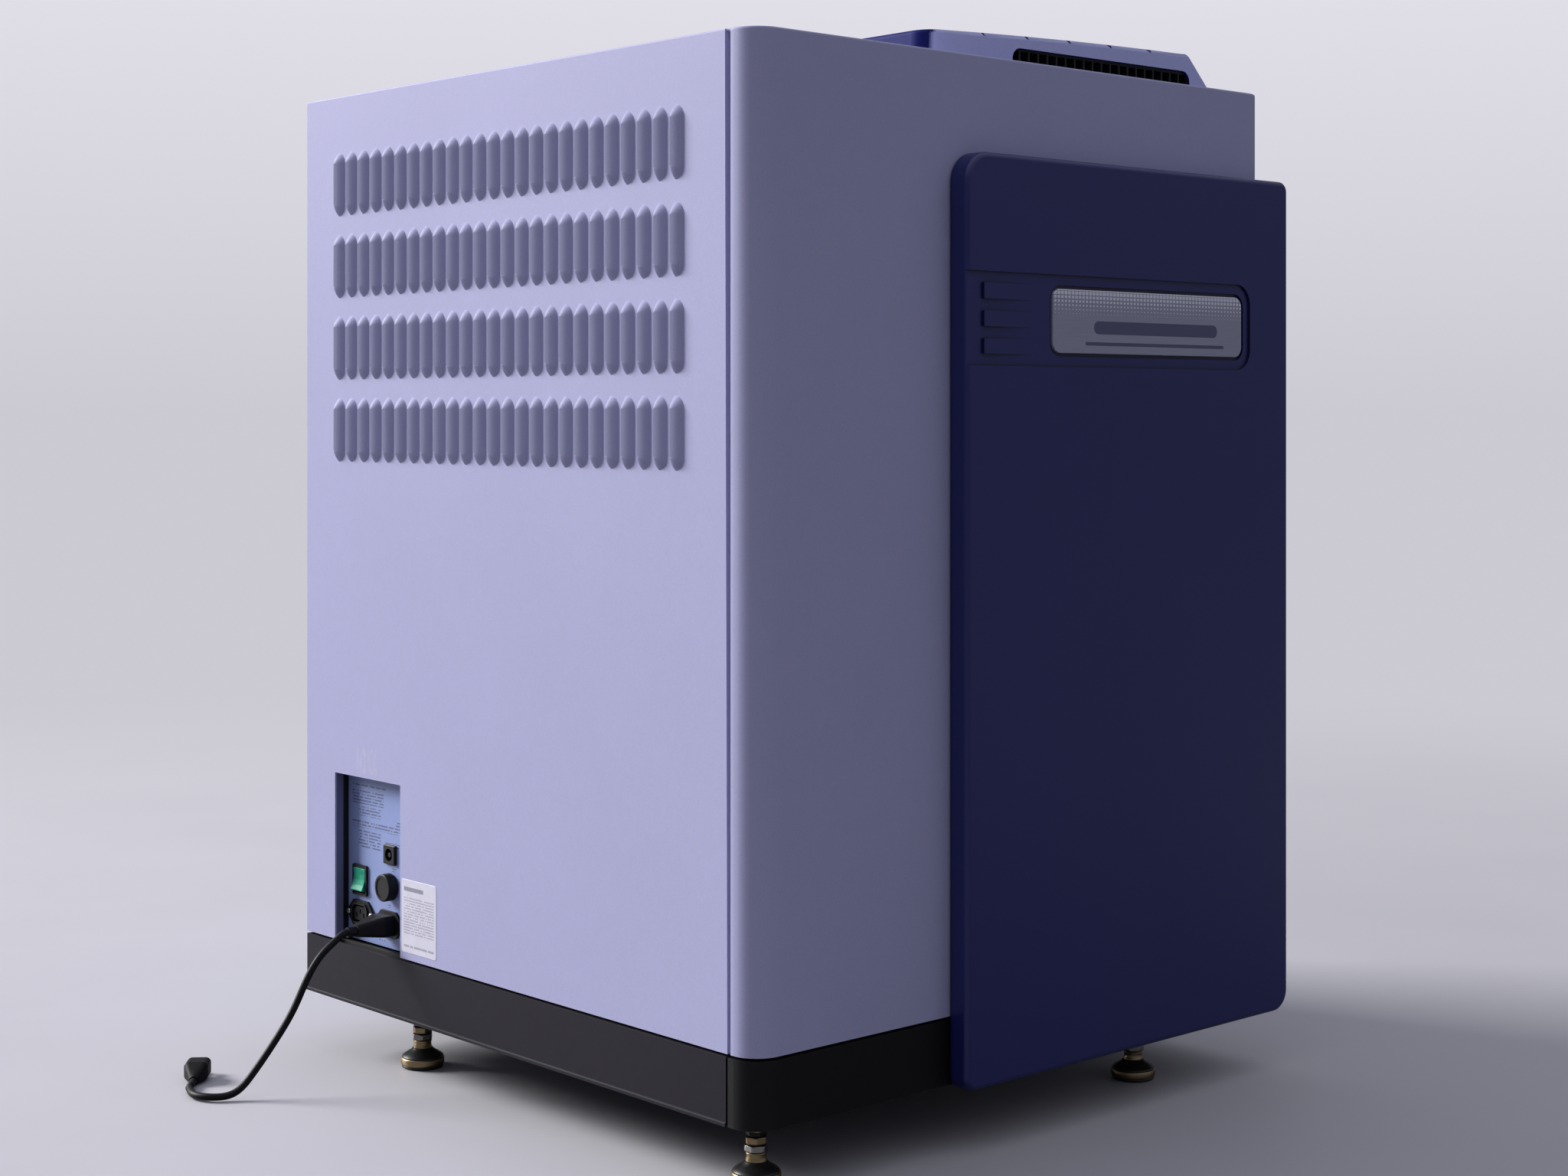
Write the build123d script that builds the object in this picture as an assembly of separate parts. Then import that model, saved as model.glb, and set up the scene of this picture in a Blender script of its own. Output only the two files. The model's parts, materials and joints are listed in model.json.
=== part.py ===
from build123d import *
import math
import os

# Bench-top thermal cycler with a fluorescence reader: a sheet-steel cabinet on four
# levelling feet, a moulded front door, a louvred left panel with a power recess, and a
# moving thermal stage under a camera.
# Millimetres.  +X right seen from the front, +Y to the rear, +Z up.  Parts are drawn about
# the cabinet's centre line with z = 0 on the bench, then moved so that the origin is the
# centre of the whole footprint.

# Cabinet
HALF_W, HALF_D = 340.0, 345.0
PLINTH_Z0, PLINTH_Z1 = 60.0, 117.4
TUBE_TOP = 114.0            # underside of the deck
PANEL_Z0 = 120.0            # bottom edge of the panels
TOP_Z = 965.0
CORNER_R = 26.0             # vertical front corners
SHELL_T = 2.5               # front shell and plinth wall
SHEET_T = 2.0               # side panel sheet
RETURN_W = 16.0             # folded returns, measured from the outer face
RETURN_Z1 = TOP_Z - 2.6
DECK_T = 3.0
DECK_FLOOR = TUBE_TOP + DECK_T
SHELF_TOP = 400.0

# Joint between the front shell and the side panels; the panel edge leans
SHELL_END_Y = -315.6
PANEL_TOP_Y, PANEL_BOTTOM_Y = -308.5, -311.5

# Louvres: y of the first cut line, centre heights of the rows, hood size
LOUVRE_Y0, LOUVRE_PITCH, LOUVRES_PER_ROW = -244.7, 22.05, 25
LOUVRE_ROWS = [876.55, 794.6, 712.8, 631.0]
LOUVRE_LEN, LOUVRE_W, LOUVRE_H, LOUVRE_T = 63.5, 11.2, 6.5, 1.4
LOUVRE_MID = (0.543, 0.629)  # arc's middle point as fractions of width and height

# Power recess in the left panel
RECESS_Y0, RECESS_Y1, RECESS_Z1, RECESS_DEPTH = 174.0, 292.0, 287.0, 16.0
PLATE_X = -HALF_W + RECESS_DEPTH    # outer face of the connector plate
SWITCH_Y, SWITCH_Z = 268.6, 180.2
SWITCH_W, SWITCH_H, SWITCH_TILT = 25.5, 30.5, 10.0
SWITCH_PIVOT_X = -322.4
DATA_Y, DATA_Z = 214.4, 212.6
CAP_Y, CAP_Z, CAP_R = 214.0, 181.0, 13.5
OUTLET_Y, OUTLET_Z = 266.6, 147.0
INLET_Y, INLET_Z = 216.2, 144.0
OUTLET_SCREW_Y = [OUTLET_Y - 20, OUTLET_Y + 20]
PIN_OFFSETS = [(-6.5, -1.5), (6.5, -1.5), (0, 2.0)]    # y, z about a power connector

# Power cord
CORD_R = 3.4
CORD_X0 = PLATE_X - 49.25           # outer end of the connector boot
CORD_PATH = [                       # x, y from the inlet, z
    (CORD_X0, 0, 142.4), (-384, 0, 138.0), (-399, 0, 127.5), (-414, 0.5, 110.0),
    (-431, 2, 78.0), (-451, 3, 50.0), (-476, 4, 21.0), (-494, 7, 6.5),
    (-512, 17, 4.6), (-519, 36, 4.6), (-512, 57, 4.6), (-497, 77, 4.6)]
PLUG_DIR = (0.62, 0.78, 0)
PLUG_SIDE = (0.78, -0.62, 0)

# Door, with a shallow band across its front and a name plate in the band
DOOR_X0, DOOR_X1, DOOR_Z0, DOOR_Z1 = -113.0, 347.5, 56.5, 877.0
DOOR_YF, DOOR_YB = -367.0, -347.0
BAND_Z0, BAND_Z1, BAND_X1 = 689.5, 772.5, 286.0
BAND_Y = DOOR_YF + 2.2
NAME_X0, NAME_X1, NAME_Z0, NAME_Z1 = 0.0, 274.0, 702.0, 760.0
NAME_GAP = 3.2
NAME_BACK_Y = BAND_Y + 2.3
RIB_Z = [(748.3, 762.5), (724.0, 737.8), (700.0, 713.4)]

# Hinges: bottom, lower joint, upper joint and top of the knuckles
PIN_X, PIN_Y, PIN_R, KNUCKLE_R = 345.0, -353.0, 2.5, 6.0
HINGE_H = 68.0
KNUCKLE_H = HINGE_H * 0.28
HINGES = [(z, z + KNUCKLE_H, z + HINGE_H - KNUCKLE_H, z + HINGE_H) for z in (66.0, 778.0)]
KNUCKLE_GAP = 0.3
LEAF_T = 2.5
HINGE_SCREW_Y = -296.0
HINGE_SCREW_Z = [z for z0, _, _, z1 in HINGES for z in (z0 + 12, z1 - 8)]

# M4 screws round the rear panel
SCREW_R, SCREW_HOLE_R = 2.0, 2.05
REAR_SCREW_X = 331.0
REAR_SCREW_Z = [150.0 + 195.0 * i for i in range(5)]
REAR_SCREWS = [(x, z) for x in (-REAR_SCREW_X, REAR_SCREW_X) for z in REAR_SCREW_Z]

# Top hood
HOOD_X0, HOOD_X1, HOOD_CREST_X = -83.0, 335.0, 291.0
HOOD_LEFT_Z, HOOD_RIGHT_Z = 995.2, 1008.0
HOOD_HALF_D, HOOD_T = 285.0, 3.0

# Loading bay and thermal stage
BAY_X0, BAY_X1, BAY_Z0, BAY_Z1 = 0.0, 220.0, 470.0, 600.0
STAGE_X, BLOCK_Y = 110.0, -230.0
RAIL_OFFSETS = (-52, 52)
LEAD_Z, LEAD_R, LEAD_HOLE_R = 424.0, 5.0, 5.06
CARRIAGE_Z0, CARRIAGE_Z1 = 430.0, 438.0
SINK_TOP, PELTIER_TOP, BLOCK_TOP = 478.0, 482.0, 494.0

# Optics: lens axis and filter wheel
LENS_X, LENS_Y = 110.0, 20.0
WHEEL_X, WHEEL_R, FILTER_RING_R, FILTER_R = 162.0, 70.0, 52.0, 14.0
WHEEL_SHAFT_R, WHEEL_HOLE_R = 4.0, 4.06

# Levelling feet
FEET_X, FEET_Y = (-292.0, 198.0), (-293.0, 207.0)
FEET = {"front_left": (FEET_X[0], FEET_Y[0]), "front_right": (FEET_X[1], FEET_Y[0]),
        "rear_left": (FEET_X[0], FEET_Y[1]), "rear_right": (FEET_X[1], FEET_Y[1])}
STUD_R, STUD_HOLE_R = 5.95, 6.0

# Rear fan
FAN_X, FAN_Z = -110.0, 720.0
FAN_Y0, FAN_Y1 = 303.0, 341.0


# ---------------------------------------------------------------- helpers
def box(x0, x1, y0, y1, z0, z1):
    """Box between two corners; either end of a range may come first."""
    centre = Pos((x0 + x1) / 2, (y0 + y1) / 2, (z0 + z1) / 2)
    return centre * Box(abs(x1 - x0), abs(y1 - y0), abs(z1 - z0))


def block_x(y, z, x0, x1, half_y, half_z):
    """Box from x0 to x1 centred on (y, z); block_y and block_z work likewise."""
    return box(x0, x1, y - half_y, y + half_y, z - half_z, z + half_z)


def block_y(x, z, y0, y1, half_x, half_z):
    return box(x - half_x, x + half_x, y0, y1, z - half_z, z + half_z)


def block_z(x, y, z0, z1, half_x, half_y):
    return box(x - half_x, x + half_x, y - half_y, y + half_y, z0, z1)


def rod_x(y, z, x0, x1, radius):
    return Pos((x0 + x1) / 2, y, z) * Rot(0, 90, 0) * Cylinder(radius, x1 - x0)


def rod_y(x, z, y0, y1, radius):
    return Pos(x, (y0 + y1) / 2, z) * Rot(90, 0, 0) * Cylinder(radius, y1 - y0)


def rod_z(x, y, z0, z1, radius):
    return Pos(x, y, (z0 + z1) / 2) * Cylinder(radius, z1 - z0)


def extrude_y(outline, y0, y1):
    """Closed outline in X-Z, extruded from y0 to y1."""
    plane = Plane(origin=(0, y1, 0), x_dir=(1, 0, 0), z_dir=(0, -1, 0))
    return extrude(plane * make_face(outline), y1 - y0)


def prism_y(points, y0, y1):
    return extrude_y(Polyline(*points, close=True), y0, y1)


def prism_x(points, x0, x1):
    """Polygon in Y-Z, extruded from x0 to x1."""
    plane = Plane(origin=(x0, 0, 0), x_dir=(0, 1, 0), z_dir=(1, 0, 0))
    return extrude(plane * make_face(Polyline(*points, close=True)), x1 - x0)


def prism_z(points, z0, z1):
    """Polygon in X-Y, extruded from z0 to z1."""
    face = Plane(origin=(0, 0, z0)) * make_face(Polyline(*points, close=True))
    return extrude(face, z1 - z0)


def edges_at(edges, axis, value, tol=0.01):
    return edges.filter_by_position(axis, value - tol, value + tol)


def circles(solid, axis, end):
    """Circular edges at the low (0) or high (-1) end of an axis."""
    return solid.edges().filter_by(GeomType.CIRCLE).group_by(axis)[end]


def rounded(solid, axis, radius):
    """Fillet every edge parallel to an axis."""
    return fillet(solid.edges().filter_by(axis), radius)


def round_corner(solid, x, z, radius):
    """Fillet the edge along Y that stands at (x, z)."""
    edges = [e for e in solid.edges().filter_by(Axis.Y)
             if abs(e.center().X - x) < 0.1 and abs(e.center().Z - z) < 0.1]
    return fillet(edges, radius)


def front_rounded_box(half_x, y0, y1, z0, z1, radius):
    """Box centred in X with its two front vertical edges rounded."""
    solid = box(-half_x, half_x, y0, y1, z0, z1)
    return fillet(edges_at(solid.edges().filter_by(Axis.Z), Axis.Y, y0), radius)


def bay_block(grow, y0, y1, radius):
    """Rounded block the size of the loading bay, grown on every side."""
    return rounded(box(BAY_X0 - grow, BAY_X1 + grow, y0, y1, BAY_Z0 - grow, BAY_Z1 + grow),
                   Axis.Y, radius)


# ---------------------------------------------------------------- structure
def base_frame():
    """Welded tube frame that carries the feet."""
    tube, wall, half_len = 40.0, 2.5, 330.0

    def cross_tubes(half, half_length):
        mid_z = TUBE_TOP - tube / 2
        z0, z1 = mid_z - half, mid_z + half
        along_x = [box(-half_length, half_length, y - half, y + half, z0, z1) for y in FEET_Y]
        along_y = [box(x - half, x + half, -half_length, half_length, z0, z1) for x in FEET_X]
        return along_x + along_y

    outer = cross_tubes(tube / 2, half_len)
    frame = outer[0] + outer[1:]
    frame = frame - cross_tubes(tube / 2 - wall, half_len + 1)
    bosses = [rod_z(x, y, 55, TUBE_TOP - wall, 8.5) for x, y in FEET.values()]
    bosses += [rod_z(x, y, 68, TUBE_TOP - tube + wall, 14) for x, y in FEET.values()]
    frame = frame + bosses
    return frame - [rod_z(x, y, 50, 105, STUD_HOLE_R) for x, y in FEET.values()]


def base_deck():
    """Folded steel tray on the tubes, seen as a line above the plinth."""
    half_x, half_y, radius = 334, 339, 20
    deck = front_rounded_box(half_x, -half_y, half_y, TUBE_TOP, PANEL_Z0, radius)
    inner_y = half_y - DECK_T
    return deck - front_rounded_box(half_x - DECK_T, -inner_y, inner_y,
                                    DECK_FLOOR, PANEL_Z0 + 1, radius - DECK_T)


def upper_frame():
    """Angle posts, two rings, equipment shelf, lamp bars and front screw bearing."""
    half_x, front_y, rear_y = 330.0, -305.8, 335.0
    leg, metal, ring_w = 25, 3, 22
    ring_top = TOP_Z - 2.5
    posts = []
    for side in (-1, 1):
        x = side * half_x
        for y, inward in ((front_y, 1), (rear_y, -1)):
            posts.append(box(x, x - side * leg, y, y + inward * metal, DECK_FLOOR, ring_top))
            posts.append(box(x, x - side * metal, y, y + inward * leg, DECK_FLOOR, ring_top))
    rings = []
    for z in (ring_top, 396.0):
        window = box(-half_x + ring_w, half_x - ring_w, front_y + ring_w, rear_y - ring_w,
                     z - metal - 1, z + 1)
        rings.append(box(-half_x, half_x, front_y, rear_y, z - metal, z) - window)
    shelf = box(-half_x, half_x, front_y, rear_y, 396, SHELF_TOP)
    lamp_bars = [box(-half_x + 2, half_x - 2, y, y + 20, 953.5, 959.5) for y in (-215.0, -45.0)]
    frame = posts[0] + posts[1:] + rings + [shelf] + lamp_bars
    bearing = box(STAGE_X - 16, STAGE_X + 16, -305, -292, SHELF_TOP, 438)
    bearing = bearing - rod_y(STAGE_X, LEAD_Z, -306, -291, LEAD_HOLE_R)
    return frame + bearing


def plinth_front():
    end_y = -312.0
    plinth = front_rounded_box(HALF_W, -HALF_D, end_y, PLINTH_Z0, PLINTH_Z1, CORNER_R)
    plinth = plinth - front_rounded_box(HALF_W - SHELL_T, -HALF_D + SHELL_T, -300,
                                        PLINTH_Z0 - 1, PLINTH_Z1 + 1, CORNER_R - SHELL_T)
    return plinth + [box(side * HALF_W, side * (HALF_W - 9), end_y - 2.5, end_y,
                         PLINTH_Z0, TUBE_TOP) for side in (-1, 1)]


def plinth_rear_wrap():
    """Side walls with inward bottom lips, and the rear wall."""
    section = [  # distance outwards from the side face, z
        (0, PLINTH_Z0 + 3.2), (0, PLINTH_Z1), (-2.5, PLINTH_Z1), (-2.5, PLINTH_Z0 + 2.5),
        (-16, PLINTH_Z0 + 2.5), (-16, PLINTH_Z0), (1.2, PLINTH_Z0), (1.2, PLINTH_Z0 + 2.4)]
    walls = [prism_y([(side * (HALF_W + out), z) for out, z in section], -309.4, HALF_D)
             for side in (-1, 1)]
    walls.append(box(-HALF_W + 1.0, HALF_W - 1.0, HALF_D - 2.5, HALF_D, PLINTH_Z0, PLINTH_Z1))
    wrap = walls[0] + walls[1:]
    return wrap - hinge_screw_holes([z for z in HINGE_SCREW_Z if z < PANEL_Z0])


# ---------------------------------------------------------------- shells and panels
def front_shell():
    shell = front_rounded_box(HALF_W, -HALF_D, SHELL_END_Y, PANEL_Z0, TOP_Z, CORNER_R)
    rim = [e for e in edges_at(shell.edges(), Axis.Z, TOP_Z)
           if e.center().Y < SHELL_END_Y - 0.5]
    shell = fillet(rim, 2.2)
    shell = shell - front_rounded_box(HALF_W - SHELL_T, -HALF_D + SHELL_T, -290,
                                      PANEL_Z0 - 1, TOP_Z + 1, CORNER_R - SHELL_T)
    shell = shell + [box(side * (HALF_W - 0.5), side * (HALF_W - 14), SHELL_END_Y - 2,
                         SHELL_END_Y, PANEL_Z0, TOP_Z - 3) for side in (-1, 1)]
    return shell - bay_block(0, -HALF_D - 5, -HALF_D + 10, 9)


def hinge_screw_holes(heights):
    return [rod_x(HINGE_SCREW_Y, z, HALF_W - 5, HALF_W + 1, SCREW_HOLE_R) for z in heights]


def rear_screw_holes(x):
    """Holes through a side panel's rear return."""
    return [rod_y(x, z, HALF_D - 3, HALF_D + 2, SCREW_HOLE_R) for z in REAR_SCREW_Z]


def side_panel(side, recess=()):
    """Sheet with folded front and rear returns; side is -1 left, +1 right.

    recess holds the outline points of a notch in the bottom edge."""
    outline = [(PANEL_TOP_Y, TOP_Z), (HALF_D, TOP_Z), (HALF_D, PANEL_Z0), *recess,
               (PANEL_BOTTOM_Y, PANEL_Z0)]
    face_x, inner_x = side * HALF_W, side * (HALF_W - SHEET_T)
    sheet = prism_x(outline, *sorted((face_x, inner_x)))
    top = [e for e in edges_at(sheet.edges(), Axis.Z, TOP_Z)
           if abs(e.center().X - face_x) < 0.1]
    sheet = fillet(top, 1.5)
    x0, x1 = sorted((inner_x, side * (HALF_W - RETURN_W)))
    front = prism_x([(PANEL_TOP_Y, RETURN_Z1), (PANEL_TOP_Y + 2, RETURN_Z1),
                     (PANEL_BOTTOM_Y + 2, PANEL_Z0), (PANEL_BOTTOM_Y, PANEL_Z0)], x0, x1)
    rear = box(x0, x1, HALF_D - 2, HALF_D, PANEL_Z0, RETURN_Z1)
    return sheet + [front, rear]


def louvre_section(width, height, back, base):
    """Hood section in X-Y: an arc closed by lines at depth base and, past the cut line, back."""
    def at(forward, outward):
        return (-HALF_W - outward, LOUVRE_Y0 - forward)

    arc = ThreePointArc(at(0, height), at(width * LOUVRE_MID[0], height * LOUVRE_MID[1]),
                        at(width, 0))
    rear = [at(back, base), at(back, height)] if back != 0 else [at(0, base)]
    return make_face(arc + Polyline(at(width, 0), at(width, base), *rear, at(0, height)))


def louvre(width, height, back, base):
    """Section run straight in Z and turned a quarter at each end."""
    half = LOUVRE_LEN / 2 - LOUVRE_W
    low, high = LOUVRE_ROWS[0] - half, LOUVRE_ROWS[0] + half
    section = louvre_section(width, height, back, base)
    straight = extrude(Plane(origin=(0, 0, low)) * section, 2 * half)
    end = louvre_section(width, height, 0, base)
    upper = revolve(Plane(origin=(0, 0, high)) * end, Axis((0, LOUVRE_Y0, high), (-1, 0, 0)), 90)
    lower = revolve(Plane(origin=(0, 0, low)) * end, Axis((0, LOUVRE_Y0, low), (1, 0, 0)), 90)
    return straight + [upper, lower]


def left_side_panel():
    panel = side_panel(-1, [(RECESS_Y1, PANEL_Z0), (RECESS_Y1, RECESS_Z1),
                            (RECESS_Y0, RECESS_Z1), (RECESS_Y0, PANEL_Z0)])
    hood = louvre(LOUVRE_W, LOUVRE_H, back=0, base=-1.0)
    void = louvre(LOUVRE_W - LOUVRE_T, LOUVRE_H - LOUVRE_T, back=-0.7, base=-3.5)
    spots = [Pos(0, i * LOUVRE_PITCH, z - LOUVRE_ROWS[0])
             for z in LOUVRE_ROWS for i in range(LOUVRES_PER_ROW)]
    panel = panel + [spot * hood for spot in spots]
    panel = panel - [spot * void for spot in spots]
    return panel - rear_screw_holes(-REAR_SCREW_X)


def right_side_panel():
    panel = side_panel(1) - rear_screw_holes(REAR_SCREW_X)
    return panel - hinge_screw_holes([z for z in HINGE_SCREW_Z if z > PANEL_Z0])


def rear_panel():
    """Rear sheet with the fan opening, screw holes and a row of slots."""
    panel = box(-HALF_W + 2.5, HALF_W - 2.5, HALF_D - 4, HALF_D - 2, PANEL_Z0, RETURN_Z1)
    panel = panel - rod_y(FAN_X, FAN_Z, 330, 350, 57)
    panel = panel - [rod_y(x, z, 330, 350, SCREW_HOLE_R) for x, z in REAR_SCREWS]
    return panel - [rounded(box(60 + i * 14, 66 + i * 14, 335, 350, 690, 790), Axis.Y, 2.9)
                    for i in range(14)]


def button_screw(x, z, length=9.0):
    """M4 button-head screw seated on the rear face, pointing forwards."""
    head = Pos(x, HALF_D + 1.0, z) * Rot(90, 0, 0) * Cylinder(3.8, 2.0)
    head = fillet(circles(head, Axis.Y, -1), 1.2)
    socket = Pos(x, HALF_D + 2.01, z) * Rot(90, 0, 0) * RegularPolygon(1.5, 6)
    return (head + rod_y(x, z, HALF_D - length, HALF_D, SCREW_R)) - extrude(socket, 1.2)


def button_head_screws():
    screws = [button_screw(x, z) for x, z in REAR_SCREWS]
    for z in HINGE_SCREW_Z:
        seat = Pos(HALF_W + LEAF_T, HINGE_SCREW_Y, z) * Rot(0, 0, -90)
        screws.append(seat * Pos(0, -HALF_D, 0) * button_screw(0, 0, 6.0))
    return screws


def top_panel():
    panel = front_rounded_box(HALF_W - 3.0, -HALF_D + 3.2, HALF_D - 0.4,
                              TOP_Z - 2.5, TOP_Z, CORNER_R - 3.2)
    return panel - box(0, 270, -200, 200, 950, 980)


# ---------------------------------------------------------------- top hood
def hood_block(inset):
    """Hood body shrunk by inset, with rounded left vertical corners."""
    half_d = HOOD_HALF_D - inset
    base_z = TOP_Z - (1.0 if inset else 0.0)
    left_top = (HOOD_X0 + 2 + inset, HOOD_LEFT_Z - inset)
    crown = ((HOOD_X0 + HOOD_CREST_X) / 2, (HOOD_LEFT_Z + HOOD_RIGHT_Z) / 2 + 2.0 - inset)
    right_top = (HOOD_CREST_X - inset * 0.45, HOOD_RIGHT_Z - inset)
    lines = Polyline(right_top, (HOOD_X1 - inset * 1.45, base_z), (HOOD_X0 + inset, base_z),
                     left_top)
    block = extrude_y(ThreePointArc(left_top, crown, right_top) + lines, -half_d, half_d)
    corners = [e for e in block.edges()
               if abs(e.center().X - (HOOD_X0 + 1 + inset)) < 2.5 and e.length < 60
               and abs(abs(e.center().Y) - half_d) < 0.5]
    return fillet(corners, 18 - inset)


def top_hood():
    outer = hood_block(0)
    # The kernel may refuse to round the top rim; the rim then stays sharp.
    try:
        outer = fillet([e for e in outer.edges() if e.center().Z > 990], 4)
    except Exception:
        pass
    hood = outer - hood_block(HOOD_T)
    opening = prism_y([(34, TOP_Z - 1), (34, 989.2), (295, 990.2), (295, TOP_Z - 1)],
                      -HOOD_HALF_D - 2, -HOOD_HALF_D + 5)
    upper = [e for e in opening.edges().filter_by(Axis.Y) if e.center().Z > 980]
    return hood - fillet(upper, 11)


def hood_grille():
    """Barred grille behind the hood's front opening."""
    front_y = -HOOD_HALF_D
    grille = prism_y([(31, TOP_Z), (31, 992.0), (298, 993.0), (298, TOP_Z)],
                     front_y + HOOD_T, front_y + 12)
    return grille - [box(35.2 + i * 13.0, 45.8 + i * 13.0, front_y + 2, front_y + 13,
                         TOP_Z + 2.2, 987.0) for i in range(20)]


# ---------------------------------------------------------------- power recess
def inlet_recess_box():
    """Walls of the recess behind the notch in the left panel."""
    wall = 1.5
    walls = box(-HALF_W + SHEET_T, PLATE_X + 2, RECESS_Y0 - wall, RECESS_Y1 + wall,
                PANEL_Z0, RECESS_Z1 + wall)
    return walls - box(-HALF_W, PLATE_X + 5, RECESS_Y0, RECESS_Y1, PANEL_Z0 - 1, RECESS_Z1)


def connector_plate():
    x0, x1 = PLATE_X - 1, PLATE_X + 3
    plate = box(PLATE_X, PLATE_X + 2, RECESS_Y0, RECESS_Y1, PANEL_Z0, RECESS_Z1)
    plate = plate - block_x(SWITCH_Y, SWITCH_Z, x0, x1, 11.2, 13.9)
    plate = plate - block_x(DATA_Y, DATA_Z, x0, x1, 8.2, 7.8)
    plate = plate - rod_x(CAP_Y, CAP_Z, x0, x1, 8.0)
    for y, z in ((OUTLET_Y, OUTLET_Z), (INLET_Y, INLET_Z)):
        plate = plate - block_x(y, z, x0, x1, 14.2, 11.6)
    return plate - [rod_x(y, OUTLET_Z, x0, x1, 1.55) for y in OUTLET_SCREW_Y]


def switch_bezel():
    bezel = block_x(SWITCH_Y, SWITCH_Z, PLATE_X - 2.5, PLATE_X, SWITCH_W / 2, SWITCH_H / 2)
    bezel = rounded(bezel, Axis.X, 1.5)
    bezel = bezel + block_x(SWITCH_Y, SWITCH_Z, PLATE_X, PLATE_X + 22, 11, 13.7)
    bezel = bezel - block_x(SWITCH_Y, SWITCH_Z, PLATE_X - 3, PLATE_X + 14, 10.1, 12.7)
    return bezel - rod_y(SWITCH_PIVOT_X, SWITCH_Z, SWITCH_Y - 10.7, SWITCH_Y + 10.7, 1.55)


def switch_rocker():
    outline = [  # x, z about the pivot
        (-6.6, 11.3), (-5.0, 5.5), (-4.4, 0), (-5.0, -5.5), (-6.6, -11.3),
        (-1.0, -11.3), (5.0, -5.0), (5.0, 5.0), (-1.0, 11.3)]
    rocker = prism_y(outline, -9.8, 9.8)
    tips = [e for e in rocker.edges().filter_by(Axis.Y) if e.center().X < -6]
    rocker = Rot(0, SWITCH_TILT, 0) * fillet(tips, 0.9)
    rocker = Pos(SWITCH_PIVOT_X, SWITCH_Y, SWITCH_Z) * rocker
    return rocker + rod_y(SWITCH_PIVOT_X, SWITCH_Z, SWITCH_Y - 10.5, SWITCH_Y + 10.5, 1.5)


def data_port():
    """Square port with a round insert."""
    port = block_x(DATA_Y, DATA_Z, PLATE_X - 3.2, PLATE_X, 10, 9.5)
    port = chamfer(port.faces().sort_by(Axis.X)[0].edges(), 0.8)
    port = port + block_x(DATA_Y, DATA_Z, PLATE_X, PLATE_X + 16, 8, 7.6)
    port = port - rod_x(DATA_Y, DATA_Z, PLATE_X - 5, PLATE_X + 10, 6.2)
    return port + rod_x(DATA_Y, DATA_Z, PLATE_X - 2.2, PLATE_X + 10.5, 2.4)


def cap_rod(x0, x1, radius):
    """Rod on the round port's axis; x0 and x1 are measured from the plate."""
    return rod_x(CAP_Y, CAP_Z, PLATE_X + x0, PLATE_X + x1, radius)


def round_port_socket():
    socket = cap_rod(-1.5, 0, 12.5) + cap_rod(-8.5, -1.5, 9.5) + cap_rod(0, 14, 7.9)
    return socket - cap_rod(-9, 8, 6.5)


def round_port_cap():
    """Turning cap with a dished face and fluted rim."""
    cap = cap_rod(-11.3, -1.7, CAP_R)
    cap = fillet(circles(cap, Axis.X, 0), 1.6)
    cap = cap - cap_rod(-12, -10.6, 10.2)
    cap = cap - cap_rod(-8.9, 0, 9.55)
    flute = Pos(PLATE_X - 5.5, 0, CAP_R + 0.35) * Rot(0, 90, 0) * Cylinder(0.9, 7.0)
    return cap - [Pos(0, CAP_Y, CAP_Z) * Rot(i * 18, 0, 0) * flute for i in range(20)]


def connector_flange(y, z):
    """Six-sided flange with a rectangular body behind the plate."""
    outline = [(y + 25, z), (y + 13.2, z + 13), (y - 13.2, z + 13),
               (y - 25, z), (y - 13.2, z - 13), (y + 13.2, z - 13)]
    flange = rounded(prism_x(outline, PLATE_X - 2.6, PLATE_X), Axis.X, 3.0)
    return flange + block_x(y, z, PLATE_X, PLATE_X + 22, 14, 11.4)


def three_pin_block(y, z, width, height, x0, x1):
    """Rectangle with two cut upper corners; x0 and x1 are measured from the plate."""
    a, b, cut = width / 2, height / 2, 4
    outline = [(y - a, z - b), (y + a, z - b), (y + a, z + b - cut), (y + a - cut, z + b),
               (y - a + cut, z + b), (y - a, z + b - cut)]
    return rounded(prism_x(outline, PLATE_X + x0, PLATE_X + x1), Axis.X, 1.5)


def pin_bars(y, z, x0, x1, half_y, half_z):
    """Three bars in the power pin pattern, for pins or for their slots."""
    return [block_x(y + dy, z + dz, PLATE_X + x0, PLATE_X + x1, half_y, half_z)
            for dy, dz in PIN_OFFSETS]


def power_outlet():
    outlet = connector_flange(OUTLET_Y, OUTLET_Z)
    outlet = outlet + three_pin_block(OUTLET_Y, OUTLET_Z, 27.4, 20.4, -4.2, -2.6)
    outlet = outlet - three_pin_block(OUTLET_Y, OUTLET_Z, 24.8, 17.6, -5, 14)
    tongue = three_pin_block(OUTLET_Y, OUTLET_Z, 21.0, 13.6, -2.6, 14)
    tongue = tongue - pin_bars(OUTLET_Y, OUTLET_Z, -4, 12, 1.1, 2.2)
    outlet = outlet + tongue
    return outlet - [rod_x(y, OUTLET_Z, PLATE_X - 5, PLATE_X + 1, 1.6) for y in OUTLET_SCREW_Y]


def outlet_screws():
    """Cross-slotted screws either side of the outlet."""
    screws = []
    for y in OUTLET_SCREW_Y:
        screw = rod_x(y, OUTLET_Z, PLATE_X - 4.4, PLATE_X - 2.6, 2.9)
        screw = fillet(circles(screw, Axis.X, 0), 1.0)
        screw = screw + rod_x(y, OUTLET_Z, PLATE_X - 2.6, PLATE_X + 6, 1.5)
        screws.append(screw - [
            block_x(y, OUTLET_Z, PLATE_X - 5, PLATE_X - 3.6, half_y, half_z)
            for half_y, half_z in ((1.9, 0.35), (0.35, 1.9))])
    return screws


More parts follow.
